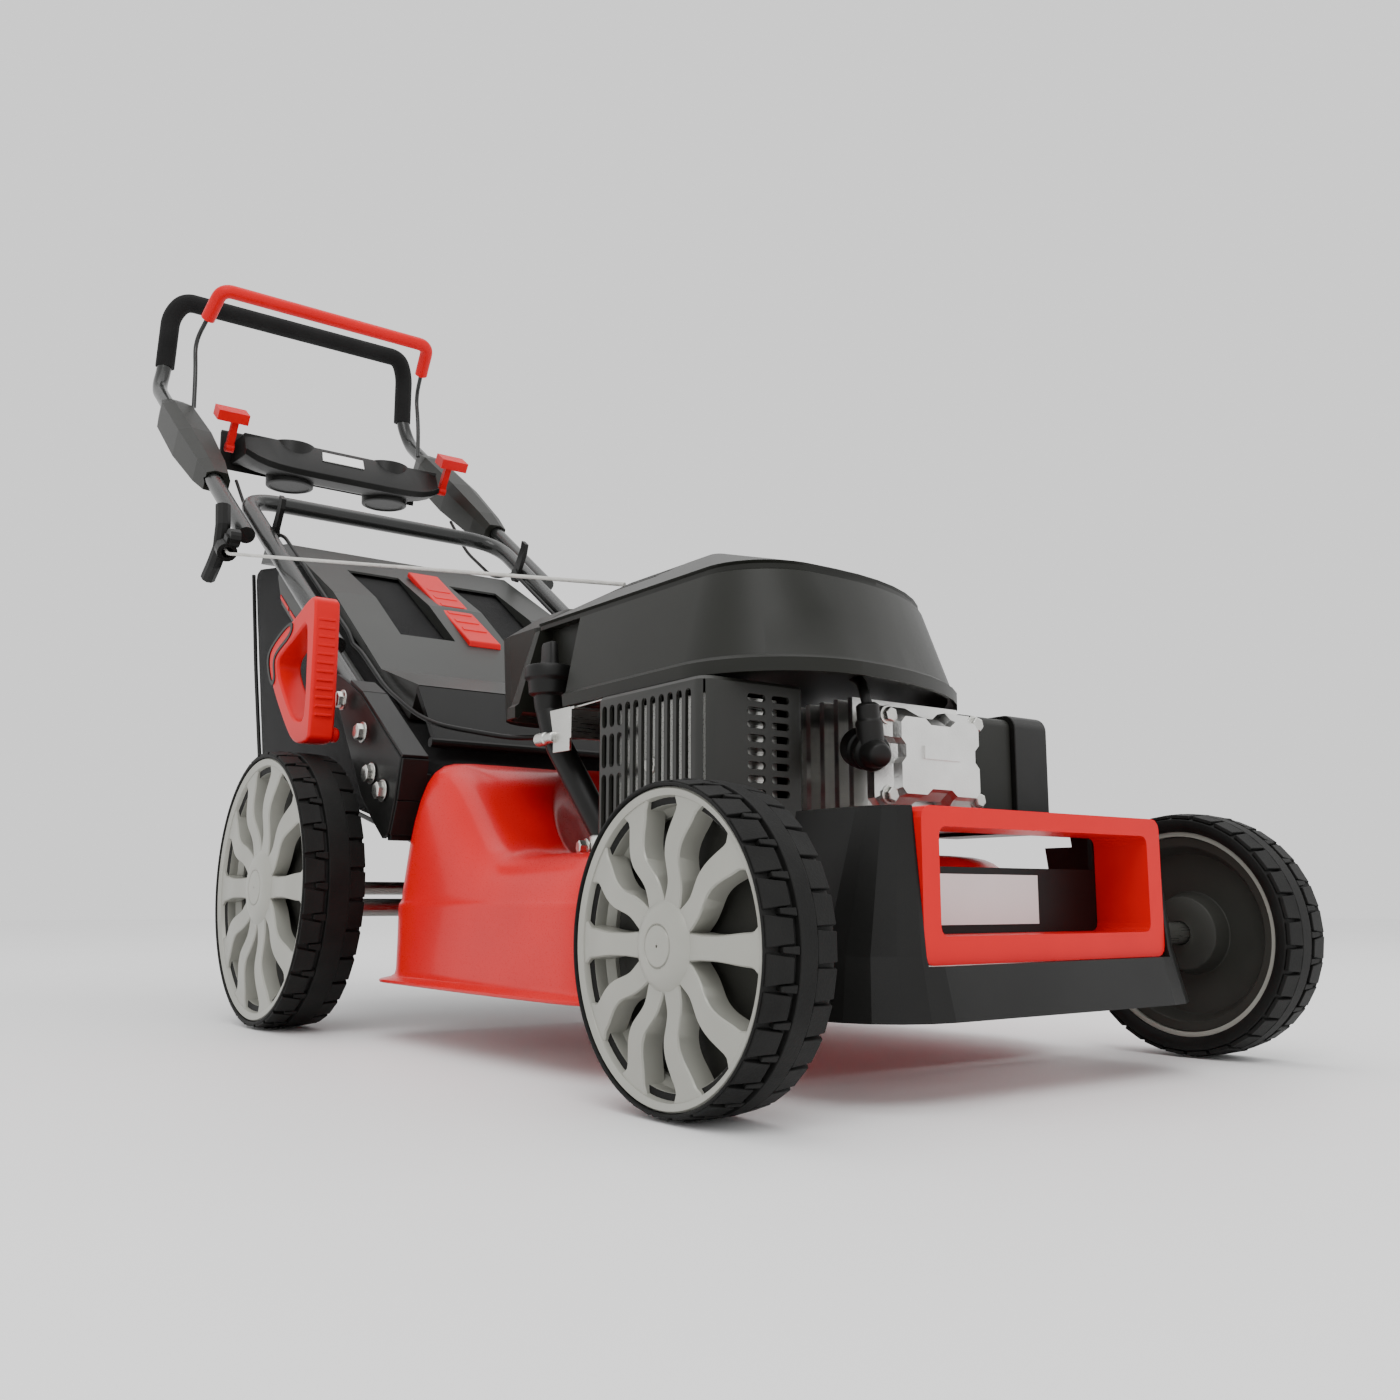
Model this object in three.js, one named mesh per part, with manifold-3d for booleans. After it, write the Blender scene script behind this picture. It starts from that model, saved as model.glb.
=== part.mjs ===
import * as THREE from 'three';
import { mergeVertices } from 'three/addons/utils/BufferGeometryUtils.js';
import Module from 'manifold-3d';

const wasm = await Module();
wasm.setup();

// Main sizes in millimetres. X is the width, -Y the front, Z up.
// The layout is drawn with the front wheel axis at y = 0 and moved by Y_SHIFT at the end.
const Y_SHIFT = -747.96;
const FRONT_R = 100;
const REAR_R = 140;
const REAR_Y = 697;
const CRANK = { dy: 56.6, dz: 20 };
const FRONT_PIVOT = { y: CRANK.dy, z: FRONT_R - CRANK.dz };
const REAR_PIVOT = { y: REAR_Y - CRANK.dy, z: REAR_R - CRANK.dz };
const FRONT_WHEEL = { width: 54, outer: 289 };
const REAR_WHEEL = { width: 62, outer: 301 };
const SPOKES = 10;
const SHAFT_Y = 320;
const DECK_TOP = 165;
const TUNNEL_TOP = 258;
const SHEET = 3;
const BLADE_R = 212;
const HANDLE_ANGLE = THREE.MathUtils.degToRad(35.2);
const HANDLE_BASE = { y: 669, z: 342 };
const TUBE_R = 12;
const LOWER_HALF = 200;
const UPPER_HALF = 227;
const BRACKET_X = 225;
const KNOB_S = 137;
const LOWER_TOP_S = 595;
const JOINT_S = 475;
const CONSOLE_S = 806;
const CUP_X = 79;
const LEVER_X = 176;
const BAIL_PIVOT = { s: 978, t: 18 };
const AXLE_R = 9;
const DECK_HALF = 230;
const BAG_HALF = 180;
const GAP = 0.3;

const group = new THREE.Group();
group.name = 'push_lawn_mower';

// ---------- materials ----------
const paint = (color, roughness, metalness) => ({ color, roughness, metalness });
const RED = paint(0xd8171c, 0.3, 0.1);
const RED_PLASTIC = paint(0xe02022, 0.4, 0);
const BLACK = paint(0x17171a, 0.5, 0);
const DARK = paint(0x36363a, 0.55, 0);
const GUNMETAL = paint(0x4a4d50, 0.35, 0.6);
const STEEL = paint(0xa9abad, 0.35, 0.95);
const ALUMINIUM = paint(0xc6c8ca, 0.45, 0.9);
const RUBBER = paint(0x161616, 0.85, 0);
const SILVER = paint(0xb9b9b2, 0.4, 0.3);
const WHITE = paint(0xe8e8e8, 0.5, 0);

// ---------- solid helpers ----------
function solid(geometry) {
  const g = geometry.clone();
  g.deleteAttribute('normal');
  g.deleteAttribute('uv');
  const m = mergeVertices(g, 1e-4);
  const mesh = new wasm.Mesh({
    numProp: 3,
    vertProperties: new Float32Array(m.attributes.position.array),
    triVerts: new Uint32Array(m.index.array),
  });
  mesh.merge();
  return new wasm.Manifold(mesh);
}

function box(x0, x1, y0, y1, z0, z1) {
  const g = new THREE.BoxGeometry(x1 - x0, y1 - y0, z1 - z0);
  g.translate((x0 + x1) / 2, (y0 + y1) / 2, (z0 + z1) / 2);
  return solid(g);
}

// A cylinder or cone from one point to another.
function rod(a, b, r0, r1 = r0, sides = 14) {
  const start = new THREE.Vector3(...a);
  const end = new THREE.Vector3(...b);
  const axis = end.clone().sub(start);
  const g = new THREE.CylinderGeometry(r1, r0, axis.length(), sides);
  g.translate(0, axis.length() / 2, 0);
  g.applyQuaternion(new THREE.Quaternion().setFromUnitVectors(new THREE.Vector3(0, 1, 0), axis.normalize()));
  g.translate(...a);
  return solid(g);
}

// A turned body: profile of [radius, along] pairs about the X axis at (y, z).
function turnedX(profile, y, z, segments = 40) {
  const g = new THREE.LatheGeometry(profile.map(([r, a]) => new THREE.Vector2(r, a)), segments);
  g.rotateZ(-Math.PI / 2);
  g.translate(0, y, z);
  return solid(g);
}

// A turned body: profile of [radius, height] pairs about a vertical axis.
function turnedZ(profile, x, y, segments = 40) {
  const g = new THREE.LatheGeometry(profile.map(([r, a]) => new THREE.Vector2(r, a)), segments);
  g.rotateX(Math.PI / 2);
  g.translate(x, y, 0);
  return solid(g);
}

// A plate drawn in the side view, as [y, z] points, from x0 to x1.
function sidePlate(points, x0, x1) {
  const g = new THREE.ExtrudeGeometry(new THREE.Shape(points.map(([y, z]) => new THREE.Vector2(y, z))),
    { depth: x1 - x0, bevelEnabled: false });
  g.rotateX(Math.PI / 2);
  g.rotateZ(Math.PI / 2);
  g.translate(x0, 0, 0);
  return solid(g);
}

// A plate drawn in plan, as [x, y] points, from z0 to z1.
function planPlate(points, z0, z1) {
  const g = new THREE.ExtrudeGeometry(new THREE.Shape(points.map(([x, y]) => new THREE.Vector2(x, y))),
    { depth: z1 - z0, bevelEnabled: false });
  g.translate(0, 0, z0);
  return solid(g);
}

function roundedOutline(x0, x1, y0, y1, radii, steps = 5) {
  const corners = [[x1, y0, -90], [x1, y1, 0], [x0, y1, 90], [x0, y0, 180]];
  const points = [];
  corners.forEach(([cx, cy, angle], i) => {
    const r = radii[i];
    const ox = cx === x1 ? cx - r : cx + r;
    const oy = cy === y1 ? cy - r : cy + r;
    for (let k = 0; k <= steps; k += 1) {
      const a = THREE.MathUtils.degToRad(angle + (90 * k) / steps);
      points.push([ox + r * Math.cos(a), oy + r * Math.sin(a)]);
    }
  });
  return points;
}

// A body through stacked outlines, each { z, points }, all with the same number of points.
function loft(rings, place = ([x, y], z) => [x, y, z]) {
  const count = rings[0].points.length;
  const positions = rings.flatMap(({ z, points }) => points.flatMap((p) => place(p, z)));
  const index = [];
  for (let r = 0; r + 1 < rings.length; r += 1) {
    for (let i = 0; i < count; i += 1) {
      const a = r * count + i;
      const b = r * count + ((i + 1) % count);
      index.push(a, b, b + count, a, b + count, a + count);
    }
  }
  const cap = (ring, flip) => {
    const flat = rings[ring].points.map(([x, y]) => new THREE.Vector2(x, y));
    THREE.ShapeUtils.triangulateShape(flat, []).forEach(([a, b, c]) => {
      const o = ring * count;
      index.push(...(flip ? [o + a, o + c, o + b] : [o + a, o + b, o + c]));
    });
  };
  cap(0, true);
  cap(rings.length - 1, false);
  const g = new THREE.BufferGeometry();
  g.setAttribute('position', new THREE.Float32BufferAttribute(positions, 3));
  g.setIndex(index);
  return solid(g);
}

// A round bar through points, with corners of the given radius.
function bar(points, radius, corner = 40, step = 2.4, sides = 10, count = 0) {
  const v = points.map((p) => new THREE.Vector3(...p));
  const path = new THREE.CurvePath();
  let from = v[0];
  for (let i = 1; i + 1 < v.length; i += 1) {
    const before = v[i - 1].clone().sub(v[i]);
    const after = v[i + 1].clone().sub(v[i]);
    const r = Math.min(corner, before.length() / 2.1, after.length() / 2.1);
    const a = v[i].clone().add(before.setLength(r));
    const b = v[i].clone().add(after.setLength(r));
    path.add(new THREE.LineCurve3(from, a));
    path.add(new THREE.QuadraticBezierCurve3(a, v[i], b));
    from = b;
  }
  path.add(new THREE.LineCurve3(from, v[v.length - 1]));
  const circle = [];
  for (let i = 0; i < sides; i += 1) {
    const a = (2 * Math.PI * i) / sides;
    circle.push(new THREE.Vector2(radius * Math.cos(a), radius * Math.sin(a)));
  }
  const steps = count || Math.max(2, Math.min(80, Math.round(path.getLength() / (2 * radius * step))));
  return solid(new THREE.ExtrudeGeometry(new THREE.Shape(circle), { steps, extrudePath: path }));
}

const join = (...parts) => parts.reduce((a, b) => a.add(b));
const cut = (body, ...tools) => tools.reduce((a, b) => a.subtract(b), body);
const mirror = (body) => body.mirror([1, 0, 0]);

// Moves a body drawn along the handle line (y along it, z square to it) into place.
function onHandle(body) {
  const tilted = body.rotate([THREE.MathUtils.radToDeg(HANDLE_ANGLE), 0, 0]);
  return tilted.translate([0, HANDLE_BASE.y, HANDLE_BASE.z]);
}

function add(name, body, look) {
  const m = body.getMesh();
  const g = new THREE.BufferGeometry();
  g.setAttribute('position', new THREE.Float32BufferAttribute(new Float32Array(m.vertProperties), 3));
  g.setIndex([...m.triVerts]);
  g.translate(0, Y_SHIFT, 0);
  g.computeVertexNormals();
  const mesh = new THREE.Mesh(g, new THREE.MeshStandardMaterial(look));
  mesh.name = name;
  group.add(mesh);
}

// ---------- deck: a pressed bowl with a raised tunnel at the rear ----------
function deckBody(inset) {
  const top = DECK_TOP - inset;
  const bottom = inset > 0 ? 40 : 57;
  const ring = (z, half, front, rear, radii) => {
    const x = half - inset;
    return { z, points: roundedOutline(-x, x, front + inset, rear - inset, radii) };
  };
  const bowlCorners = [110, 40, 40, 110];
  const tunnelCorners = [60, 30, 30, 60];
  const low = loft([
    ring(bottom, DECK_HALF, 90, 545, bowlCorners),
    ring(112, DECK_HALF - 2, 92, 545, bowlCorners),
    ring(top, DECK_HALF - 12, 100, 543, bowlCorners),
  ]);
  const tunnel = loft([
    ring(110, DECK_HALF - 2, 330, 545, tunnelCorners),
    ring(200, DECK_HALF - 8, 345, 543, tunnelCorners),
    ring(TUNNEL_TOP - inset, DECK_HALF - 34, 395, 540, tunnelCorners),
  ]);
  const scoop = rod([0, SHAFT_Y, DECK_TOP - inset], [0, SHAFT_Y, 300], 128 + inset, 150 + inset, 48);
  return low.add(tunnel.subtract(scoop));
}
const flangeOutline = roundedOutline(-DECK_HALF - 16, DECK_HALF + 16, 76, 552, [118, 40, 40, 118]);
const flange = planPlate(flangeOutline, 54, 57.5);
let deck = deckBody(0).add(flange);
deck = cut(deck, deckBody(SHEET));
const discharge = box(-150, 150, 500, 600, 168, 240);
const shaftHole = rod([0, SHAFT_Y, 140], [0, SHAFT_Y, 190], 34);
const beltSlot = box(-16, 68, 500, 600, 96, 111);
const linkNotch = box(180, 190, 60, 104, 50, 60);
deck = cut(deck, discharge, shaftHole, beltSlot, linkNotch);
add('deck', deck, RED);

// ---------- front cover, grip and label ----------
const coverRings = (inset, z0, z1) => [
  { z: z0, points: roundedOutline(-176 + inset, 176 - inset, -74 + inset, 89, [60, 2, 2, 60]) },
  { z: 92, points: roundedOutline(-168 + inset, 168 - inset, -64 + inset, 89, [52, 2, 2, 52]) },
  { z: z1, points: roundedOutline(-150 + inset, 150 - inset, -54 + inset, 89, [30, 2, 2, 30]) },
];
let cover = loft(coverRings(0, 52, 187));
const gripRecess = box(-128.3, 128.3, -100, -12, 85.7, 200);
const axleRoom = box(-200, 200, FRONT_PIVOT.y - 11, FRONT_PIVOT.y + 11, 40, FRONT_PIVOT.z + 11);
cover = cut(cover, loft(coverRings(4, 40, 183)), gripRecess, axleRoom);
const recessBack = box(-150, 150, -13, -9, 86, 186);
const handHole = box(-110, 110, -20, 0, 150, 200);
const engineRoom = box(-200, 200, 35, 100, 170, 200);
const openBack = box(-200, 200, 62, 100, 50, 200);
cover = cut(join(cover, recessBack), handHole, engineRoom, openBack);
add('front_cover', cover, BLACK);

const frameOuter = roundedOutline(-128, 128, 86, 187, [8, 8, 8, 8], 3);
const frameInner = roundedOutline(-112, 112, 104, 174, [6, 6, 6, 6], 3);
const frontal = ([x, z], y) => [x, -y, z];
const frontPlate = (points, y0, y1) => loft([{ z: -y1, points }, { z: -y0, points }], frontal);
add('front_grip', cut(frontPlate(frameOuter, -60, -13.3), frontPlate(frameInner, -80, 0)), RED_PLASTIC);
add('label_plate', box(-80, 40, -15.6, -13.3, 110, 145), WHITE);

// ---------- brackets, rear flap ----------
function rightBracket() {
  const plate = sidePlate([[536, 166], [600, 200], [700, 345], [690, 372], [650, 360], [560, 330]],
    -BRACKET_X - 7, -BRACKET_X - 3);
  const foot = box(-BRACKET_X - 4, -180, 545.5, 549, 166, 330);
  const tubeBolts = [[HANDLE_BASE.y, HANDLE_BASE.z], [607, 299]];
  const deckBolts = [[576, 252], [560, 226]];
  const shanks = tubeBolts.map(([y, z]) => rod([-BRACKET_X, y, z], [-BRACKET_X - 6, y, z], 6, 6, 12));
  const heads = [...tubeBolts, ...deckBolts].map(([y, z]) =>
    rod([-BRACKET_X - 5, y, z], [-BRACKET_X - 14, y, z], 8.5, 8.5, 6));
  const stub = rod([-BRACKET_X, -100, 0], [-BRACKET_X, 150, 0], TUBE_R, TUBE_R, 16);
  const knob = rod([-BRACKET_X - 1, KNOB_S, 0], [-BRACKET_X - 29, KNOB_S, 0], 16, 13, 12);
  return join(plate, foot, ...shanks, ...heads, onHandle(join(stub, knob)));
}
const bracketRight = rightBracket();
add('bracket_right', bracketRight, BLACK);
add('bracket_left', mirror(bracketRight), BLACK);

const flapAxis = { y: 565, z: 285 };
add('rear_flap', join(
  rod([-176, flapAxis.y, flapAxis.z], [176, flapAxis.y, flapAxis.z], 5, 5, 12),
  sidePlate([[566, 283], [612, 345], [607, 349], [561, 287]], -172, 172),
), BLACK);

// ---------- wheels ----------
function tyreProfile(r, w) {
  const i = r * 0.84;
  return [[i, -w / 2], [r * 0.93, -w / 2], [r - 2, -w / 2 + 5], [r, -w / 2 + 10], [r, w / 2 - 10],
    [r - 2, w / 2 - 5], [r * 0.93, w / 2], [i, w / 2], [i, -w / 2]];
}
function discProfile(r, w) {
  const o = r * 0.84 - 1;
  return [[9.3, -w / 2 + 6], [22, -w / 2 + 6], [22, w / 2 - 24], [o - 8, w / 2 - 20], [o - 8, -w / 2 + 4],
    [o, -w / 2 + 4], [o, w / 2 - 2], [o - 7, w / 2 - 2], [o - 12, w / 2 - 12], [26, w / 2 - 10],
    [22, w / 2 - 4], [9.3, w / 2 - 4], [9.3, -w / 2 + 6]];
}
function wheel(name, side, y, r, { width: w, outer }) {
  const cx = outer - w / 2;
  const put = (body) => {
    const placed = side > 0 ? body : mirror(body);
    return placed.translate([side * cx, y, r]);
  };
  const tyre = turnedX(tyreProfile(r, w), 0, 0, 36);
  let disc = turnedX(discProfile(r, w), 0, 0, 24);
  for (let i = 0; i < SPOKES; i += 1) {
    const a = (2 * Math.PI * (i + 0.5)) / SPOKES;
    const bow = (i % 2 ? 1 : -1) * 0.09;
    const at = (radius, angle) => [radius * r * Math.cos(a + angle), radius * r * Math.sin(a + angle)];
    const hole = [at(0.34, -0.14), at(0.55, -0.17 + bow), at(0.75, -0.17), at(0.75, 0.17), at(0.55, 0.17 + bow),
      at(0.34, 0.14)];
    disc = disc.subtract(sidePlate(hole, -w, w));
  }
  disc = disc.add(turnedX([[0, w / 2 - 6], [12, w / 2 - 6], [12, w / 2 + 1], [0, w / 2 + 3]], 0, 0, 16));
  add(`tyre_${name}`, put(tyre), RUBBER);
  add(`wheel_${name}`, put(disc), SILVER);
}
wheel('front_right', -1, 0, FRONT_R, FRONT_WHEEL);
wheel('front_left', 1, 0, FRONT_R, FRONT_WHEEL);
wheel('rear_right', -1, REAR_Y, REAR_R, REAR_WHEEL);
wheel('rear_left', 1, REAR_Y, REAR_R, REAR_WHEEL);

// ---------- axles, height linkage ----------
function axle(pivot, wheelY, wheelZ, armX, stubEnd, through) {
  const reach = Math.hypot(wheelY - pivot.y, wheelZ - pivot.z);
  const oy = (-AXLE_R * (wheelZ - pivot.z)) / reach;
  const oz = (AXLE_R * (wheelY - pivot.y)) / reach;
  const outline = [[pivot.y + oy, pivot.z + oz], [pivot.y - oy, pivot.z - oz],
    [wheelY - oy, wheelZ - oz], [wheelY + oy, wheelZ + oz]];
  const web = (side) => sidePlate(outline, side > 0 ? armX : -armX - 6, side > 0 ? armX + 6 : -armX);
  const arm = (side) => join(
    rod([side * armX, pivot.y, pivot.z], [side * (armX + 6), pivot.y, pivot.z], 14),
    rod([side * armX, wheelY, wheelZ], [side * (armX + 6), wheelY, wheelZ], 14),
    web(side),
    rod([side * armX, wheelY, wheelZ], [side * stubEnd, wheelY, wheelZ], AXLE_R, AXLE_R, 20),
  );
  const shaft = rod([-armX - 1, pivot.y, pivot.z], [armX + 1, pivot.y, pivot.z], AXLE_R, AXLE_R, 20);
  const drive = through ? [rod([-armX - 1, wheelY, wheelZ], [armX + 1, wheelY, wheelZ], 7, 7, 16)] : [];
  return join(shaft, arm(-1), arm(1), ...drive);
}
const lug = (pivot, up) => sidePlate([[pivot.y - 8, pivot.z], [pivot.y + 8, pivot.z],
  [pivot.y + 5, pivot.z + up], [pivot.y - 5, pivot.z + up]], 178, 182);
add('front_axle', join(axle(FRONT_PIVOT, 0, FRONT_R, 188, 276, false), lug(FRONT_PIVOT, 38)), STEEL);
add('rear_axle', join(axle(REAR_PIVOT, REAR_Y, REAR_R, 227, 288, true), lug(REAR_PIVOT, -38)), STEEL);
const linkFront = { y: FRONT_PIVOT.y, z: FRONT_PIVOT.z + 30 };
const linkRear = { y: REAR_PIVOT.y, z: REAR_PIVOT.z - 30 };
const linkOutline = [[linkFront.y - 8, linkFront.z + 8], [linkFront.y - 8, linkFront.z - 8],
  [90, linkFront.z - 6], [90, 46], [linkRear.y + 2, 46], [linkRear.y + 6, 94], [linkRear.y - 6, 94],
  [linkRear.y - 6, 51], [97, 51], [97, linkFront.z + 4]];
add('height_link', cut(sidePlate(linkOutline, 183, 187), box(180, 190, 99, 120, 53, 200)), STEEL);

const leverAxis = { y: 652, z: 296 };
const leverOuter = [[638, 290], [668, 289], [690, 296], [775, 372], [784, 392], [776, 404], [752, 402],
  [700, 420], [655, 436], [634, 434], [630, 300]];
const leverInner = [[654, 312], [684, 312], [752, 376], [745, 388], [700, 402], [656, 416]];
add('height_lever', join(
  cut(sidePlate(leverOuter, -276, -248), sidePlate(leverInner, -300, -200)),
  rod([-248, leverAxis.y, leverAxis.z], [-240, leverAxis.y, leverAxis.z], 7, 7, 16),
), RED_PLASTIC);

// ---------- cutting and drive ----------
const crankProfile = [[0, 74], [12, 74], [12, 158], [17, 158], [17, 166], [12, 166], [12, 392], [9, 396],
  [0, 396]];
add('crankshaft', turnedZ(crankProfile, 0, SHAFT_Y, 24), STEEL);
const carrierProfile = [[12.3, 75], [28, 75], [28, 82], [22, 90], [22, 94], [38, 94], [38, 97], [26, 99.5],
  [26, 106.5], [38, 109], [38, 116], [12.3, 116], [12.3, 75]];
add('blade_carrier', turnedZ(carrierProfile, 0, SHAFT_Y, 20), STEEL);
const bladePlan = [[-BLADE_R, -26], [-120, -26], [-40, -30], [40, -30], [BLADE_R - 6, -26], [BLADE_R, -10],
  [BLADE_R, 26], [120, 26], [40, 30], [-40, 30], [-BLADE_R + 6, 26], [-BLADE_R, 10]];
let blade = planPlate(bladePlan, 70, 73.7);
const sail = (s) => box(s * 160 - 36, s * 160 + 36, s > 0 ? 16 : -26, s > 0 ? 26 : -16, 72, 84);
const bladeBolt = rod([0, 0, 64], [0, 0, 71], 15, 15, 6);
blade = join(blade, sail(1), sail(-1), bladeBolt, rod([0, 0, 73], [0, 0, 73.7], 20));
add('blade', blade.translate([0, SHAFT_Y, 0]), STEEL);

const pulleyAt = { x: 42, y: REAR_Y, z: 100 };
add('gearbox_pulley', turnedZ([[0, 92], [20, 92], [40, 92], [40, 97], [29, 99.5], [29, 106.5], [40, 109],
  [40, 112], [8, 112], [8, 116], [0, 116]], pulleyAt.x, pulleyAt.y, 20), BLACK);
const gearCase = box(10, 74, REAR_Y - 34, REAR_Y + 34, 116.5, 168);
const gearBosses = rod([2, REAR_Y, REAR_R], [82, REAR_Y, REAR_R], 18, 18, 20);
const driveShaftBore = rod([-20, REAR_Y, REAR_R], [110, REAR_Y, REAR_R], 7.4, 7.4, 16);
add('gearbox', cut(join(gearCase, gearBosses), driveShaftBore), ALUMINIUM);

const beltLoop = (offset) => {
  const from = new THREE.Vector2(0, SHAFT_Y);
  const to = new THREE.Vector2(pulleyAt.x, pulleyAt.y);
  const heading = Math.atan2(to.y - from.y, to.x - from.x);
  const arc = (c, r, start) => Array.from({ length: 11 }, (_, k) => {
    const a = start + (Math.PI * k) / 10;
    return [c.x + r * Math.cos(a), c.y + r * Math.sin(a)];
  });
  return [...arc(to, 29.6 + offset, heading - Math.PI / 2), ...arc(from, 26.6 + offset, heading + Math.PI / 2)];
};
add('drive_belt', cut(planPlate(beltLoop(6), 101, 105), planPlate(beltLoop(0), 90, 120)), RUBBER);

// ---------- engine ----------
const flangePlan = roundedOutline(-92, 92, 232, 408, [20, 20, 20, 20], 3);
const casePlan = roundedOutline(-76, 76, 246, 394, [30, 30, 30, 30], 4);
const engineFlange = planPlate(flangePlan, DECK_TOP + GAP, 178);
const engineCase = planPlate(casePlan, 170, 284);
const cylinderFace = box(-60, 60, 238, 262, 184, 276);
const shaftBore = rod([0, SHAFT_Y, 100], [0, SHAFT_Y, 300], 18.2, 18.2, 24);
const crankcase = cut(join(engineFlange, engineCase, cylinderFace), shaftBore);
add('crankcase', crankcase, ALUMINIUM);

const FINS = { count: 8, first: 74, pitch: 16, thick: 5 };
let cylinder = box(-44, 44, 62, 237.6, 196, 264);
for (let i = 0; i < FINS.count; i += 1) {
  const y = FINS.first + i * FINS.pitch;
  cylinder = cylinder.add(box(-58, 58, y, y + FINS.thick, 182, 280));
}
add('cylinder', cylinder, ALUMINIUM);

const halfCover = [[14, 202], [22, 196], [50, 196], [56, 202], [56, 226], [50, 232], [50, 244], [56, 250],
  [56, 266], [50, 272], [22, 272], [14, 266]];
const coverOutline = [...halfCover, ...[...halfCover].reverse().map(([x, z]) => [-x, z])];
const scaled = (k) => coverOutline.map(([x, z]) => [x * k, 234 + (z - 234) * k]);
const coverSteps = [[-61.6, 1], [-54, 1], [-44, 0.82], [-38, 0.76]];
let valve = loft(coverSteps.map(([z, k]) => ({ z, points: scaled(k) })), frontal);
valve = join(valve, frontPlate([[-20, 232], [20, 232], [20, 242], [-20, 242]], 36, 39));
[[-48, 204], [48, 204], [-48, 264], [48, 264]].forEach(([x, z]) => {
  valve = valve.add(rod([x, 55, z], [x, 47, z], 6, 6, 6));
});
add('valve_cover', valve, ALUMINIUM);

add('plug_boot', join(
  rod([-66, 66, 244], [-80, 30, 232], 12, 12, 14),
  rod([-80, 32, 232], [-86, 16, 227], 9, 8, 14),
  bar([[-72, 48, 240], [-76, 44, 268], [-68, 56, 286], [-60, 80, 302]], 3.5, 20, 3, 8),
), BLACK);

// Shroud, a hollow cap with a flat sloping top.
const shroudRings = (inset) => [
  [286 - inset * 3, 188, 10, 392, 120],
  [300, 190, 14, 392, 120],
  [372 - inset, 164, 54, 390, 90],
  [392 - inset, 138, 92, 388, 80],
  [428 - inset, 90, 190, 380, 50],
  [444 - inset, 52, 250, 360, 30],
].map(([z, half, front, rear, corner]) => ({
  z, points: roundedOutline(-half + inset, half - inset, front + inset, rear, [corner, 20, 20, corner]),
}));
let shroud = cut(loft(shroudRings(0)), loft(shroudRings(4)));
for (let i = 0; i < 6; i += 1) {
  shroud = cut(shroud, box(-44 + i * 15, -36 + i * 15, 268, 340, 436, 460));
}
shroud = cut(shroud, rod([-184, 350, 270], [-184, 350, 356], 42, 42, 24));
add('engine_shroud', shroud, DARK);

const tankOuter = loft([
  { z: 298, points: roundedOutline(-150, 150, 393, 492, [10, 50, 50, 10]) },
  { z: 378, points: roundedOutline(-150, 150, 392.5, 500, [10, 50, 50, 10]) },
  { z: 400, points: roundedOutline(-118, 118, 392.5, 488, [10, 40, 40, 10]) },
]);
const tankInner = loft([
  { z: 303, points: roundedOutline(-145, 145, 398, 487, [10, 45, 45, 10]) },
  { z: 376, points: roundedOutline(-145, 145, 398, 494, [10, 45, 45, 10]) },
  { z: 395, points: roundedOutline(-114, 114, 398, 482, [10, 35, 35, 10]) },
]);
const FILLER = { x: 80, y: 446 };
const neck = rod([FILLER.x, FILLER.y, 380], [FILLER.x, FILLER.y, 408], 24, 24, 24);
const neckBore = rod([FILLER.x, FILLER.y, 380], [FILLER.x, FILLER.y, 420], 19, 19, 24);
add('fuel_tank', cut(tankOuter.add(neck), tankInner, neckBore), DARK);
const capProfile = [[0, 398], [17, 398], [17, 408.4], [30, 408.4], [30, 420], [26, 424], [0, 424]];
add('fuel_cap', turnedZ(capProfile, FILLER.x, FILLER.y, 20), BLACK);
add('flywheel', turnedZ([[12.3, 312], [30, 312], [34, 330], [62, 330], [70, 338], [70, 362], [60, 366],
  [40, 366], [40, 384], [12.3, 384], [12.3, 312]], 0, SHAFT_Y, 24), ALUMINIUM);

add('muffler', join(
  box(-190, -125, 84, 200, 182, 272),
  rod([-126, 150, 228], [-58.5, 150, 228], 14, 14, 16),
), STEEL);
const SLOT = { wide: 5, pitch: 10, sideCount: 12, frontCount: 8 };
let guard = cut(box(-200, -107, 74, 211, 171, 283), box(-196, -111, 78, 220, 175, 279));
guard = cut(guard, box(-111.5, -100, 128, 172, 206, 250));
for (let i = 0; i < SLOT.sideCount; i += 1) {
  const y = 84 + i * SLOT.pitch;
  guard = guard.subtract(box(-210, -190, y, y + SLOT.wide, 190, 266));
}
for (let i = 0; i < SLOT.frontCount; i += 1) {
  const z = 188 + i * SLOT.pitch;
  guard = cut(guard, box(-190, -158, 70, 80, z, z + SLOT.wide), box(-150, -118, 70, 80, z, z + SLOT.wide));
}
add('muffler_guard', guard, DARK);

const INTAKE = { y: 125, z: 230 };
const carburettorBody = box(64, 98, 100, 150, 206, 256);
const intakeIn = rod([97, INTAKE.y, INTAKE.z], [105.6, INTAKE.y, INTAKE.z], 14, 14, 16);
const intakeOut = rod([58.4, INTAKE.y, INTAKE.z], [66, INTAKE.y, INTAKE.z], 14, 14, 16);
const floatBowl = rod([80, INTAKE.y, 206], [80, INTAKE.y, 190], 20, 18, 20);
add('carburettor', join(carburettorBody, intakeOut, intakeIn, floatBowl), ALUMINIUM);
function boxRounded(x0, x1, y0, y1, z0, z1) {
  const points = roundedOutline(y0, y1, z0, z1, [8, 8, 8, 8], 3);
  return loft([{ z: x0, points }, { z: x1, points }], ([y, z], x) => [x, y, z]);
}
const filterBase = cut(boxRounded(106, 170.7, 50, 168, 188, 284), boxRounded(110, 180, 54, 164, 192, 280));
add('air_filter_base', filterBase, BLACK);
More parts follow.
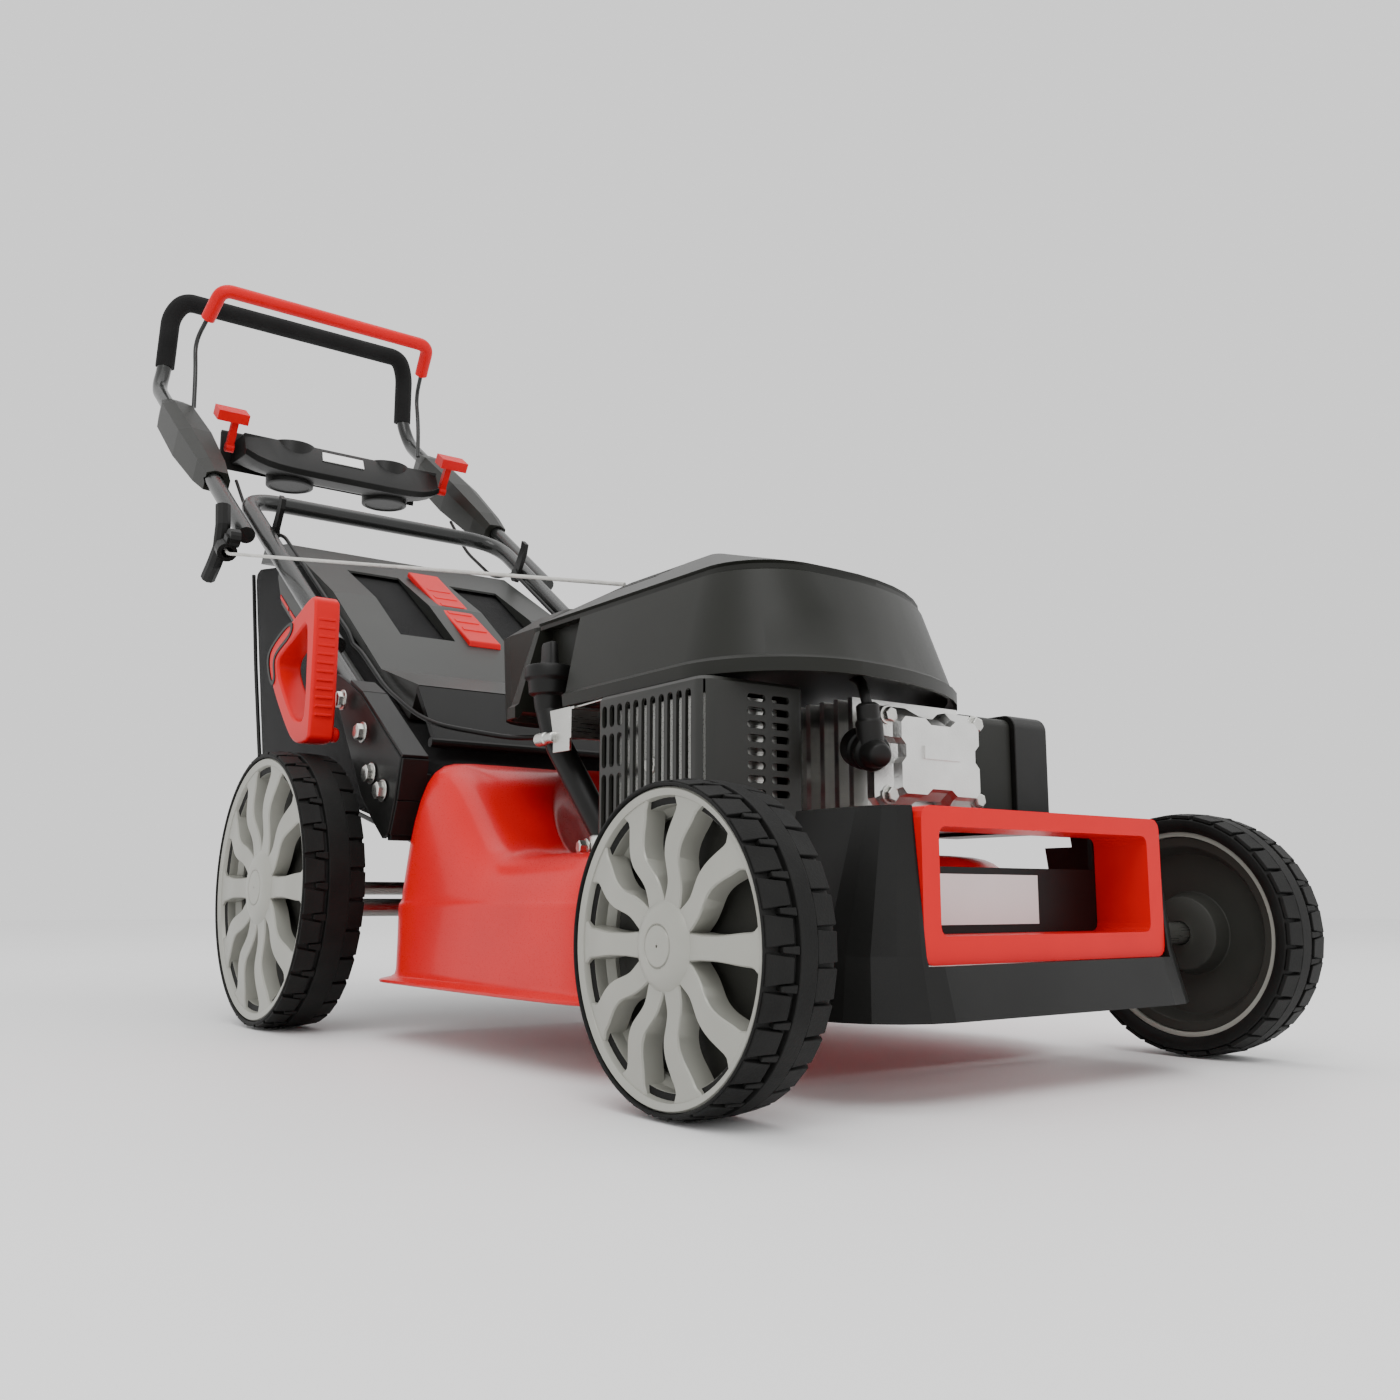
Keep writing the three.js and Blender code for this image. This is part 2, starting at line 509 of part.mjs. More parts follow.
const filterCover = cut(boxRounded(171, 204, 46, 172, 184, 284.5), boxRounded(160, 200, 50, 168, 188, 280));
add('air_filter_cover', join(filterCover, box(204, 208, 100, 118, 200, 268)), BLACK);

const fillerFoot = [-168, 262, 172];
const fillerTop = [-168, 336, 304];
add('oil_filler_tube', cut(join(
  rod(fillerFoot, fillerTop, 10, 12, 16),
  bar([[-168, 270, 186], [-130, 300, 184], [-70, 320, 184]], 9, 20, 2.5, 12),
), crankcase), BLACK);
const stem = new THREE.Vector3(...fillerTop).sub(new THREE.Vector3(...fillerFoot)).normalize();
const along = (d) => new THREE.Vector3(...fillerTop).addScaledVector(stem, d).toArray();
add('oil_cap', join(rod(along(0.4), along(12), 17, 22, 18), rod(along(11), along(17), 22, 12, 18),
  rod(along(16), along(34), 5, 4, 10)), BLACK);
add('governor_stay', join(box(-150, -84, 232, 235, 250, 284), box(-87, -84, 232, 290, 250, 270),
  rod([-140, 236, 262], [-140, 220, 262], 5, 5, 12)), STEEL);

// ---------- handles (drawn along the handle line) ----------
const lowerPath = [[-LOWER_HALF, 125, 0], [-LOWER_HALF, LOWER_TOP_S, 4], [LOWER_HALF, LOWER_TOP_S, 4],
  [LOWER_HALF, 125, 0]];
add('lower_handle', onHandle(bar(lowerPath, TUBE_R, 55, 2, 12)), GUNMETAL);

const upperPath = [[-UPPER_HALF, 452, 0], [-UPPER_HALF, 1100, 4], [-216, 1140, 34], [-213, 1186, 112],
  [-196, 1190, 142]];
const mirrored = (points) => [...points, ...[...points].reverse().map(([x, s, t]) => [-x, s, t])];
const upperLoop = mirrored(upperPath);
add('upper_handle', onHandle(bar(upperLoop, TUBE_R, 40, 1, 8, 52)), GUNMETAL);
const foam = cut(bar(upperLoop, 17, 40, 1, 8, 52), bar(upperLoop, TUBE_R + 0.5, 40, 1, 8, 52),
  box(-300, 300, 300, 1143, -100, 300));
add('foam_grip', onHandle(foam), BLACK);

const bailRod = [[-196, BAIL_PIVOT.s, BAIL_PIVOT.t], [-196, 1016, 66], [-196, 1061, 106], [-180, 1033, 205]];
const bailGrip = [[-188, 1048, 150], [-180, 1033, 205]];
const bailBody = onHandle(join(
  bar(mirrored(bailRod), 4.5, 24, 3, 8),
  bar(mirrored(bailGrip), 12, 24, 2, 10),
));
add('bail', bailBody, RED_PLASTIC);

const coverProfile = [[-28, -26], [28, -22], [28, 20], [10, 28], [-20, 26], [-28, 10]];
const sideCover = (side) => {
  const cx = side * 222;
  const ring = (k) => coverProfile.map(([x, t]) => [cx + side * x * k, t * k]);
  const rings = [[656, 0.62], [700, 0.8], [820, 1], [960, 0.95], [1001, 0.66]];
  return rings.reverse().map(([s, k]) => ({ z: -s, points: side > 0 ? ring(k) : ring(k).reverse() }));
};
const housing = (side) => {
  const body = loft(sideCover(side), ([x, t], s) => [x, -s, t]);
  const bore = TUBE_R + 1.2;
  return onHandle(cut(body, rod([side * UPPER_HALF, 500, 0.5], [side * UPPER_HALF, 1200, 4.6], bore, bore, 16)));
};
add('side_cover_right', housing(-1), DARK);
add('side_cover_left', housing(1), DARK);

const consoleOutline = [[735, 2], [760, -12], [856, -14], [872, 6], [868, 36], [805, 40], [740, 22]];
const CONSOLE_HALF = 190;
const consoleRings = [-CONSOLE_HALF, CONSOLE_HALF].map((z) => ({ z, points: consoleOutline }));
let consoleBody = loft(consoleRings, ([s, t], x) => [x, s, t]);
[-CUP_X, CUP_X].forEach((x) => {
  consoleBody = consoleBody.add(rod([x, CONSOLE_S, 10], [x, CONSOLE_S, -34], 38, 33, 28));
});
[-1, 1].forEach((side) => {
  const cup = rod([side * CUP_X, CONSOLE_S, 60], [side * CUP_X, CONSOLE_S, -30], 35, 29, 28);
  const leverSlot = box(side * 177 - 9, side * 177 + 9, 770, 830, 6, 60);
  consoleBody = cut(consoleBody, cup, leverSlot);
});
add('console', onHandle(consoleBody), BLACK);

const handLever = (side) => onHandle(join(
  rod([side * (LEVER_X - 5), 800, 14], [side * (LEVER_X + 7), 800, 14], 7, 7, 14),
  box(side > 0 ? 172 : -182, side > 0 ? 182 : -172, 796, 806, 14, 62),
  box(side > 0 ? 160 : -206, side > 0 ? 206 : -160, 790, 820, 56, 72),
));
add('drive_lever', handLever(-1), RED_PLASTIC);
add('throttle_lever', handLever(1), RED_PLASTIC);

const clamp = (side) => onHandle(join(
  rod([side * 187.7, JOINT_S, 0], [side * 180, JOINT_S, 0], 10, 10, 16),
  sidePlate([[466, -8], [484, -8], [482, 40], [486, 52], [472, 52], [468, 40]], side > 0 ? 181 : -187,
    side > 0 ? 187 : -181),
));
add('clamp_right', clamp(-1), BLACK);
add('clamp_left', clamp(1), BLACK);

// ---------- starter rope and cables ----------
const ropeGuide = onHandle(join(
  rod([-239.6, 438, -2], [-253, 438, -2], 12, 12, 14),
  rod([-252, 430, -20], [-252, 446, -20], 13, 13, 16),
  box(-256, -248, 430, 446, -24, 0),
).subtract(rod([-252, 420, -20], [-252, 456, -20], 8, 6, 12)));
add('rope_guide', ropeGuide, BLACK);
const world = (x, s, t) => [x, HANDLE_BASE.y + s * Math.cos(HANDLE_ANGLE) - t * Math.sin(HANDLE_ANGLE),
  HANDLE_BASE.z + s * Math.sin(HANDLE_ANGLE) + t * Math.cos(HANDLE_ANGLE)];
add('recoil_grip', onHandle(join(
  rod([-252, 447, -20], [-252, 462, -20], 9, 8, 12),
  bar([[-252, 496, 20], [-252, 464, -12], [-252, 464, -34], [-252, 486, -80]], 10, 24, 1.6, 10),
)), BLACK);
const ropeRoute = [[-30, 350, 450], world(-252, 426, -20), world(-252, 446, -20)];
add('starter_rope', bar(ropeRoute, 2.2, 6, 8, 8), WHITE);
const onCable = (side) => (s, t) => world(side * LEVER_X, s, t);
function cableRoute(side) {
  const at = onCable(side);
  return [at(728, -14), at(640, -32), at(505, -30), at(430, 4), at(20, 4), [side * 177, 600, 318],
    [side * LEVER_X, 545, 300]];
}
const toGovernor = [[-130, 480, 284], [-125, 300, 268], [-125, 242, 262]];
const toGearbox = [[140, 500, 274], [110, 450, 268]];
add('control_cable', bar([...cableRoute(-1), ...toGovernor], 2.5, 25, 5.2, 6), BLACK);
add('drive_cable', bar([...cableRoute(1), ...toGearbox], 2.5, 25, 5.2, 6), BLACK);

// ---------- grass bag ----------
const lidSide = [[618, 352], [640, 318], [1000, 572], [1165, 600], [1150, 622], [1060, 606], [880, 505],
  [720, 384]];
let lid = sidePlate(lidSide, -166, 166);
const pocket = (x0, x1) => sidePlate([[800, 444], [826, 418], [985, 528], [975, 560]], x0, x1);
const overPocket = (x0, x1) => sidePlate([[800, 440], [780, 560], [960, 660], [985, 545]], x0, x1);
const openPocket = (x0, x1) => join(pocket(x0, x1), overPocket(x0, x1));
lid = cut(lid, openPocket(-110, -38), openPocket(38, 110));
add('bag_lid', lid, DARK);
const bagSide = [[556, 250], [557, 175], [640, 200], [820, 240], [1085, 283], [1168, 596], [1001, 568], [640, 314],
  [560, 262]];
const bagInner = [[540, 244], [540, 181], [640, 206], [820, 246], [1080, 289], [1158, 588], [1003, 560],
  [640, 306]];
const bagShell = sidePlate(bagSide, -BAG_HALF, BAG_HALF);
add('grass_bag', cut(bagShell, sidePlate(bagInner, 6 - BAG_HALF, BAG_HALF - 6)), BLACK);

export default group;
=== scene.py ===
import math

import bmesh
import bpy
from mathutils import Matrix, Vector


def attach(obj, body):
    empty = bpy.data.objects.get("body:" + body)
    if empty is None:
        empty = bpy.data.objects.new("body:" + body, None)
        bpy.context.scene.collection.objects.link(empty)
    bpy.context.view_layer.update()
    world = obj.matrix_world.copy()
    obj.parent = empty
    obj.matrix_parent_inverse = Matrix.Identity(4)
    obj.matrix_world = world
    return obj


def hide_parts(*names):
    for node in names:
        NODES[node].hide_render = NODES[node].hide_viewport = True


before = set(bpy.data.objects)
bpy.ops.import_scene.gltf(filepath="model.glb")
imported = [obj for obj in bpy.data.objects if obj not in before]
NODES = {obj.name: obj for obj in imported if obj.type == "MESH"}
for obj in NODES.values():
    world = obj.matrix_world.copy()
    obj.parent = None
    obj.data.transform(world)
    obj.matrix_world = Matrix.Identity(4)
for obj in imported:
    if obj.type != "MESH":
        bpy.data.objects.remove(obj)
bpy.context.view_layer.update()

SHIFT = -747.96  # from the front wheel axis to the middle of the overall box
HANDLE = math.radians(35.2)  # the handle's slope
HANDLE_Y = 669  # the foot of the handle line
HANDLE_Z = 342
CS, SN = math.cos(HANDLE), math.sin(HANDLE)
FOLD_S = 137  # where the lower handle folds, along the handle line
UPPER_FOLD_S = 475  # where the upper handle folds
CRANK_Y = 320  # the upright crankshaft's place
CABLE_X = 176
CABLE_R = 2.5
ROPE_R = 2.1
SIDES = ((-1, "right"), (1, "left"))


def P(x, y, z):
    """A point given in millimetres from the front wheel axis, in the row frame."""
    return Vector((x, y + SHIFT, z)) / 1000


def W(x, s, t):
    """A point given in millimetres along and square to the handle line."""
    return P(x, HANDLE_Y + s * CS - t * SN, HANDLE_Z + s * SN + t * CS)


# ---------- camera, world, lights ----------
cam_data = bpy.data.cameras.new("camera")
cam_data.lens = 32.99
cam_data.sensor_width = 36
cam_data.clip_start = 0.01
cam = bpy.data.objects.new("camera", cam_data)
cam.location = P(-729.5, -628.9, 126.1)
cam.rotation_euler = (math.radians(90 + 8.92), 0, math.radians(-36.84))
bpy.context.scene.collection.objects.link(cam)
bpy.context.scene.camera = cam

world = bpy.data.worlds.new("studio")
world.use_nodes = True
world.node_tree.nodes["Background"].inputs[0].default_value = (1, 1, 1, 1)
world.node_tree.nodes["Background"].inputs[1].default_value = 1.15
bpy.context.scene.world = world


def area_light(name, place, target, size, power):
    """A soft light in metres and watts, turned to its target."""
    data = bpy.data.lights.new(name, "AREA")
    data.shape = "RECTANGLE"
    data.size, data.size_y = size
    data.energy = power
    obj = bpy.data.objects.new(name, data)
    obj.location = place
    obj.rotation_euler = (Vector(target) - Vector(place)).to_track_quat("-Z", "Y").to_euler()
    bpy.context.scene.collection.objects.link(obj)


area_light("key", (-1.6, -2.2, 3.0), (0, 0, 0.3), (2.2, 1.6), 48)
area_light("fill", (2.8, -1.6, 1.6), (0, 0, 0.3), (1.6, 1.6), 8)
area_light("top", (0, 0.2, 3.4), (0, 0, 0.2), (2.6, 2.6), 26)


# ---------- materials ----------
def material(name, color, rough=0.5, metal=0.0, coat=0.0, grain=400, bump=0.05, vary=0.08, blotch=14,
             style="noise", sheen=0.0, spec=0.5):
    """A node material: colour in soft blotches, and a fine grain that moves roughness and bump."""
    m = bpy.data.materials.new(name)
    m.use_nodes = True
    nt = m.node_tree
    b = nt.nodes["Principled BSDF"]
    b.inputs["Metallic"].default_value = metal
    b.inputs["Coat Weight"].default_value = coat
    b.inputs["Coat Roughness"].default_value = 0.08
    b.inputs["Specular IOR Level"].default_value = spec
    if sheen:
        b.inputs["Sheen Weight"].default_value = sheen
    tex = nt.nodes.new("ShaderNodeTexCoord")
    big = nt.nodes.new("ShaderNodeTexNoise")
    big.inputs["Scale"].default_value = blotch
    big.inputs["Detail"].default_value = 4
    nt.links.new(tex.outputs["Object"], big.inputs["Vector"])
    ramp = nt.nodes.new("ShaderNodeValToRGB")
    dark = [c * (1 - vary) for c in color]
    light = [min(1, c * (1 + vary) + vary * 0.01) for c in color]
    ramp.color_ramp.elements[0].position = 0.3
    ramp.color_ramp.elements[1].position = 0.7
    ramp.color_ramp.elements[0].color = (*dark, 1)
    ramp.color_ramp.elements[1].color = (*light, 1)
    nt.links.new(big.outputs["Fac"], ramp.inputs["Fac"])
    nt.links.new(ramp.outputs["Color"], b.inputs["Base Color"])
    mr = nt.nodes.new("ShaderNodeMapRange")
    mr.inputs["To Min"].default_value = max(0.03, rough - 0.06)
    mr.inputs["To Max"].default_value = min(1, rough + 0.08)
    if style == "weave":
        fine = nt.nodes.new("ShaderNodeTexWave")
        fine.wave_type = "BANDS"
        fine.bands_direction = "DIAGONAL"
        fine.inputs["Scale"].default_value = grain
        fine.inputs["Distortion"].default_value = 1.2
        height = fine.outputs["Fac"]
    elif style == "brushed":
        mapping = nt.nodes.new("ShaderNodeMapping")
        mapping.inputs["Scale"].default_value = (0.04, 1, 1)
        fine = nt.nodes.new("ShaderNodeTexNoise")
        fine.inputs["Scale"].default_value = grain
        nt.links.new(tex.outputs["Object"], mapping.inputs["Vector"])
        nt.links.new(mapping.outputs["Vector"], fine.inputs["Vector"])
        height = fine.outputs["Fac"]
    elif style == "cells":
        fine = nt.nodes.new("ShaderNodeTexVoronoi")
        fine.inputs["Scale"].default_value = grain
        height = fine.outputs["Distance"]
    else:
        fine = nt.nodes.new("ShaderNodeTexNoise")
        fine.inputs["Scale"].default_value = grain
        fine.inputs["Detail"].default_value = 3
        height = fine.outputs["Fac"]
    if style != "brushed":
        nt.links.new(tex.outputs["Object"], fine.inputs["Vector"])
    nt.links.new(height, mr.inputs["Value"])
    nt.links.new(mr.outputs["Result"], b.inputs["Roughness"])
    bm = nt.nodes.new("ShaderNodeBump")
    bm.inputs["Strength"].default_value = bump
    bm.inputs["Distance"].default_value = 0.0006
    nt.links.new(height, bm.inputs["Height"])
    nt.links.new(bm.outputs["Normal"], b.inputs["Normal"])
    return m


RED_PAINT = material("red_enamel", (0.64, 0.0012, 0.0045), 0.28, 0.0, 0.12, 900, 0.02, 0.05, spec=0.2)
RED_PLASTIC = material("red_moulding", (0.66, 0.0014, 0.005), 0.38, 0, 0.0, 1400, 0.06, 0.05, spec=0.2)
TYRE = material("tyre_rubber", (0.0035, 0.0035, 0.003), 0.62, 0, 0, 700, 0.3, 0.3, 30, spec=0.22)
SILVER = material("silver_moulding", (0.33, 0.33, 0.295), 0.36, 0.2, 0.05, 1200, 0.05, 0.05, spec=0.4)
DARK_WHEEL = material("wheel_recess", (0.03, 0.03, 0.026), 0.5, 0, 0, 800, 0.1, 0.15, spec=0.25)
DARK = material("engine_plastic", (0.0085, 0.009, 0.0065), 0.42, 0, 0, 1500, 0.12, 0.1, spec=0.26)
GUARD = material("guard_enamel", (0.014, 0.0145, 0.012), 0.38, 0, 0.05, 1200, 0.1, 0.1, spec=0.4)
BLACK = material("black_moulding", (0.0055, 0.0055, 0.005), 0.4, 0, 0, 1500, 0.15, 0.2, spec=0.25)
FOAM = material("foam_rubber", (0.006, 0.006, 0.006), 0.75, 0, 0, 1600, 0.5, 0.25, style="cells", spec=0.2)
GUNMETAL = material("tube_enamel", (0.02, 0.021, 0.02), 0.26, 0.3, 0.2, 1200, 0.02, 0.04, spec=0.4)
STEEL = material("plated_steel", (0.6, 0.6, 0.57), 0.28, 1.0, 0, 900, 0.12, 0.12, style="brushed")
ALU = material("cast_aluminium", (0.78, 0.78, 0.76), 0.3, 1.0, 0, 700, 0.3, 0.08, 30)
BAG_CLOTH = material("woven_cloth", (0.0045, 0.0045, 0.0048), 0.85, 0, 0, 500, 0.8, 0.25, 25, "weave", 0.08,
                     spec=0.15)
LID = material("bag_moulding", (0.02, 0.021, 0.0185), 0.4, 0, 0, 1300, 0.1, 0.08, spec=0.35)
ROPE = material("braided_rope", (0.8, 0.79, 0.74), 0.7, 0, 0, 900, 0.8, 0.1, 60, "weave")
WHITE = material("blank_plate", (0.85, 0.85, 0.84), 0.3, 0, 0.4, 900, 0.03, 0.03)
FLOOR = material("floor", (0.94, 0.94, 0.94), 0.6, 0, 0, 40, 0.0, 0.01, 2)


# ---------- piece helpers ----------
def finish_mesh(name, verts, faces, mat, body, bevel=0.0, segments=2, subsurf=0, angle=35):
    """One piece from its points and faces, on a body, with soft edges; bevel in metres."""
    me = bpy.data.meshes.new(name)
    me.from_pydata([tuple(v) for v in verts], [], faces)
    me.update()
    bm = bmesh.new()
    bm.from_mesh(me)
    bmesh.ops.recalc_face_normals(bm, faces=bm.faces)
    bm.to_mesh(me)
    bm.free()
    obj = bpy.data.objects.new(name, me)
    bpy.context.scene.collection.objects.link(obj)
    me.materials.append(mat)
    if bevel:
        mod = obj.modifiers.new("bevel", "BEVEL")
        mod.width = bevel
        mod.segments = segments
        mod.limit_method = "ANGLE"
        mod.angle_limit = math.radians(angle)
        mod.harden_normals = True
    if subsurf:
        mod = obj.modifiers.new("subsurf", "SUBSURF")
        mod.levels = subsurf
        mod.render_levels = subsurf
    for p in me.polygons:
        p.use_smooth = True
    if not subsurf:
        me.set_sharp_from_angle(angle=math.radians(angle))
    if body:
        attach(obj, body)
    return obj


def smooth(t):
    """0 to 1 with level ends."""
    t = max(0.0, min(1.0, t))
    return t * t * (3 - 2 * t)


def join_shapes(shapes):
    """Several (verts, faces) put together as one."""
    verts, faces = [], []
    for v, f in shapes:
        base = len(verts)
        verts.extend(v)
        faces.extend([tuple(i + base for i in face) for face in f])
    return verts, faces


def rings(stack, loop=False):
    """A skin over equal rings of points: capped at both ends, or joined last to first as a loop."""
    n = len(stack[0])
    verts = [v for ring in stack for v in ring]
    faces = []
    last = len(stack) if loop else len(stack) - 1
    for r in range(last):
        a0, b0 = r * n, ((r + 1) % len(stack)) * n
        for i in range(n):
            j = (i + 1) % n
            faces.append((a0 + i, a0 + j, b0 + j, b0 + i))
    if not loop:
        faces.append(tuple(reversed(range(n))))
        faces.append(tuple(range((len(stack) - 1) * n, len(stack) * n)))
    return verts, faces


def prism(points, place, a, b):
    """A flat outline swept from a to b; place(point, depth) gives the 3-D position."""
    return rings([[place(p, a) for p in points], [place(p, b) for p in points]])


def block(x0, x1, y0, y1, z0, z1):
    return rings([[P(x, y, z) for x, y in ((x0, y0), (x1, y0), (x1, y1), (x0, y1))] for z in (z0, z1)])


def rounded(x0, x1, y0, y1, r, steps=5):
    """A rounded rectangle; four radii run from corner (x1, y0) round by (x1, y1) and (x0, y1) to (x0, y0)."""
    radii = r if isinstance(r, (list, tuple)) else [r] * 4
    out = []
    for (cx, cy, start), rad in zip(((x1, y0, -90), (x1, y1, 0), (x0, y1, 90), (x0, y0, 180)), radii):
        ox = cx - rad if cx == x1 else cx + rad
        oy = cy - rad if cy == y1 else cy + rad
        for k in range(steps + 1):
            a = math.radians(start + 90 * k / steps)
            out.append((ox + rad * math.cos(a), oy + rad * math.sin(a)))
    return out


def disc(center, axis, profile, sides=32):
    """A turned body about an axis: profile of (radius, along) pairs, in millimetres."""
    axis = Vector(axis).normalized()
    u = axis.orthogonal().normalized()
    v = axis.cross(u)
    c = Vector(center)
    stack = []
    for r, a in profile:
        stack.append([c + (axis * a + u * (r * math.cos(t)) + v * (r * math.sin(t))) / 1000
                      for t in (2 * math.pi * k / sides for k in range(sides))])
    return rings(stack)


def tube(name, points, radius, mat, body, corner=30.0, detail=8):
    """A round bar as a curve through the points (row frame, metres), corners rounded, in millimetres."""
    pts = [Vector(p) for p in points]
    path = [pts[0]]
    for i in range(1, len(pts) - 1):
        before, after = pts[i - 1] - pts[i], pts[i + 1] - pts[i]
        r = min(corner / 1000, before.length / 2.1, after.length / 2.1)
        a, c = pts[i] + before.normalized() * r, pts[i] + after.normalized() * r
        for k in range(detail + 1):
            t = k / detail
            path.append(a * (1 - t) ** 2 + pts[i] * 2 * t * (1 - t) + c * t * t)
    path.append(pts[-1])
    cu = bpy.data.curves.new(name, "CURVE")
    cu.dimensions = "3D"
    cu.bevel_depth = radius / 1000
    cu.bevel_resolution = 5
    cu.use_fill_caps = True
    sp = cu.splines.new("POLY")
    sp.points.add(len(path) - 1)
    for p, q in zip(sp.points, path):
        p.co = (*q, 1)
    sp.use_smooth = True
    obj = bpy.data.objects.new(name, cu)
    bpy.context.scene.collection.objects.link(obj)
    cu.materials.append(mat)
    if body:
        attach(obj, body)
    return obj


def side_plate(name, outline, x, thick, mat, body, bevel):
    """A flat plate square to x: its outline in (y, z), in millimetres, with rounded edges."""
    cu = bpy.data.curves.new(name, "CURVE")
    cu.dimensions = "2D"
    cu.fill_mode = "BOTH"
    cu.extrude = (thick / 2 - bevel) / 1000
    cu.bevel_depth = bevel / 1000
    cu.bevel_resolution = 2
    cu.offset = -bevel / 1000
    sp = cu.splines.new("POLY")
    sp.points.add(len(outline) - 1)
    sp.use_cyclic_u = True
    for q, (a, b) in zip(sp.points, outline):
        q.co = (a / 1000, b / 1000, 0, 1)
    obj = bpy.data.objects.new(name, cu)
    bpy.context.scene.collection.objects.link(obj)
    cu.materials.append(mat)
    o = P(x, 0, 0)
    obj.matrix_world = Matrix(((0, 0, 1, o.x), (1, 0, 0, o.y), (0, 1, 0, o.z), (0, 0, 0, 1)))
    if body:
        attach(obj, body)
    return obj


def profile(points, x0, x1):
    """An outline in (y, z) swept across the machine from x0 to x1."""
    return prism(points, lambda p, x: P(x, p[0], p[1]), x0, x1)


def handle_profile(points, x0, x1):
    """An outline in (s, t) of the handle line, swept across the machine from x0 to x1."""
    return prism(points, lambda p, x: W(x, p[0], p[1]), x0, x1)


def carve(obj, shape):
    """Cut a closed shape out of a mesh, keeping its materials."""
    me = bpy.data.meshes.new("cutter")
    me.from_pydata([tuple(q) for q in shape[0]], [], shape[1])
    me.update()
    bm = bmesh.new()
    bm.from_mesh(me)
    bmesh.ops.recalc_face_normals(bm, faces=bm.faces)
    bm.to_mesh(me)
    bm.free()
    tool = bpy.data.objects.new("cutter", me)
    bpy.context.scene.collection.objects.link(tool)
    kept = [m for m in obj.modifiers if m.type == "BEVEL"]
    for m in kept:
        m.show_viewport = False
    mod = obj.modifiers.new("carve", "BOOLEAN")
    mod.operation = "DIFFERENCE"
    mod.solver = "EXACT"
    mod.object = tool
    bpy.context.view_layer.update()
    done = bpy.data.meshes.new_from_object(obj.evaluated_get(bpy.context.evaluated_depsgraph_get()))
    obj.modifiers.remove(mod)
    obj.data = done
    for m in kept:
        m.show_viewport = True
    for q in done.polygons:
        q.use_smooth = True
    done.set_sharp_from_angle(angle=math.radians(32))
    bpy.data.objects.remove(tool)


def hex_bolt(name, place, axis, body, size=8.0, head=6.0):
    v, f = join_shapes([
        disc(place, axis, [(size * 1.25, -0.4), (size * 1.25, 1.0), (size * 1.05, 1.4)], 24),
        disc(place, axis, [(size, 1.2), (size, head - 0.8), (size * 0.82, head), (size * 0.3, head)], 6),
    ])
    finish_mesh(name, v, f, STEEL, body, bevel=0.0005)


def spline_length(obj):
    """The length of a curve's own line, in metres."""
    pts = [Vector(p.co[:3]) for p in obj.data.splines[0].points]
    return sum((b - a).length for a, b in zip(pts, pts[1:]))


# ---------- floor ----------
fv, ff = block(-9000, 9000, -9000, 9000, -6, -0.2)
floor = finish_mesh("floor", fv, ff, FLOOR, None)


# ---------- wheels ----------
def tread_block(corners, inner, outer, shrink=0.9):
    """corners are (angle, across) pairs; the block stands from inner to outer radius, narrower at the top."""
    ca = sum(a for a, _ in corners) / len(corners)
    cx = sum(x for _, x in corners) / len(corners)
    low = [(inner, a, x) for a, x in corners]
    top = [(outer, ca + (a - ca) * shrink, cx + (x - cx) * shrink) for a, x in corners]
    return low, top


def tyre(name, side, y, radius, width, outer_x, body):
    """A tyre with two rows of tread blocks and a narrow row between them."""
    cx = outer_x - width / 2

    def place(r, a, x):
        return P(side * (cx + x), y + r * math.cos(a), radius + r * math.sin(a))

    half = width / 2
    core = radius - 4.2
    e = half - 1.2
    profile = [(radius * 0.84, -half + 4), (radius * 0.87, -half + 1), (radius * 0.9, -half),
               (radius * 0.94, -half + 0.6), (core, -half + 6), (core, -e + 15.4), (radius - 0.5, -e + 16.2),
               (radius - 0.4, e - 23), (core, e - 22.2), (core, half - 6), (radius * 0.968, half - 0.5),
               (radius * 0.952, half - 0.2), (radius * 0.946, half - 1.4), (radius * 0.946, half - 6),
               (radius * 0.84, half - 8)]
    sides = 120
    stack = [[place(r, 2 * math.pi * k / sides, x) for k in range(sides)] for r, x in profile]
    shapes = [rings(stack, loop=True)]
    count = 30
    pitch = 2 * math.pi / count
    for k in range(count):
        a = k * pitch
        plans = [
            [(a + 0.04 * pitch, e), (a + 0.93 * pitch, e), (a + 0.84 * pitch, e - 19),
             (a + 0.16 * pitch, e - 19)],
            [(a + 0.90 * pitch, e - 10), (a + 1.05 * pitch, e - 10), (a + 1.12 * pitch, e - 22.5),
             (a + 0.88 * pitch, e - 22.5)],
            [(a + 0.46 * pitch, -e + 16.5), (a + 1.40 * pitch, -e + 16.5), (a + 1.36 * pitch, -e),
             (a + 0.50 * pitch, -e)],
        ]
        for plan in plans:
            low, top = tread_block(plan, core - 1.5, radius - 0.35, 0.95)
            for i, (r, ang, x) in enumerate(low):
                if abs(x) > e - 1:
                    low[i] = (radius * 0.952, ang, x)
            for i, (r, ang, x) in enumerate(top):
                if abs(x) > e - 3:
                    top[i] = (radius - 2.0, ang, x)
            shapes.append(rings([[place(*p) for p in low], [place(*p) for p in top]]))
    v, f = join_shapes(shapes)
    obj = finish_mesh(f"{name}_tread", v, f, TYRE, body, bevel=0.0006, segments=2, angle=30)
    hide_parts(name)


SPOKES = 10


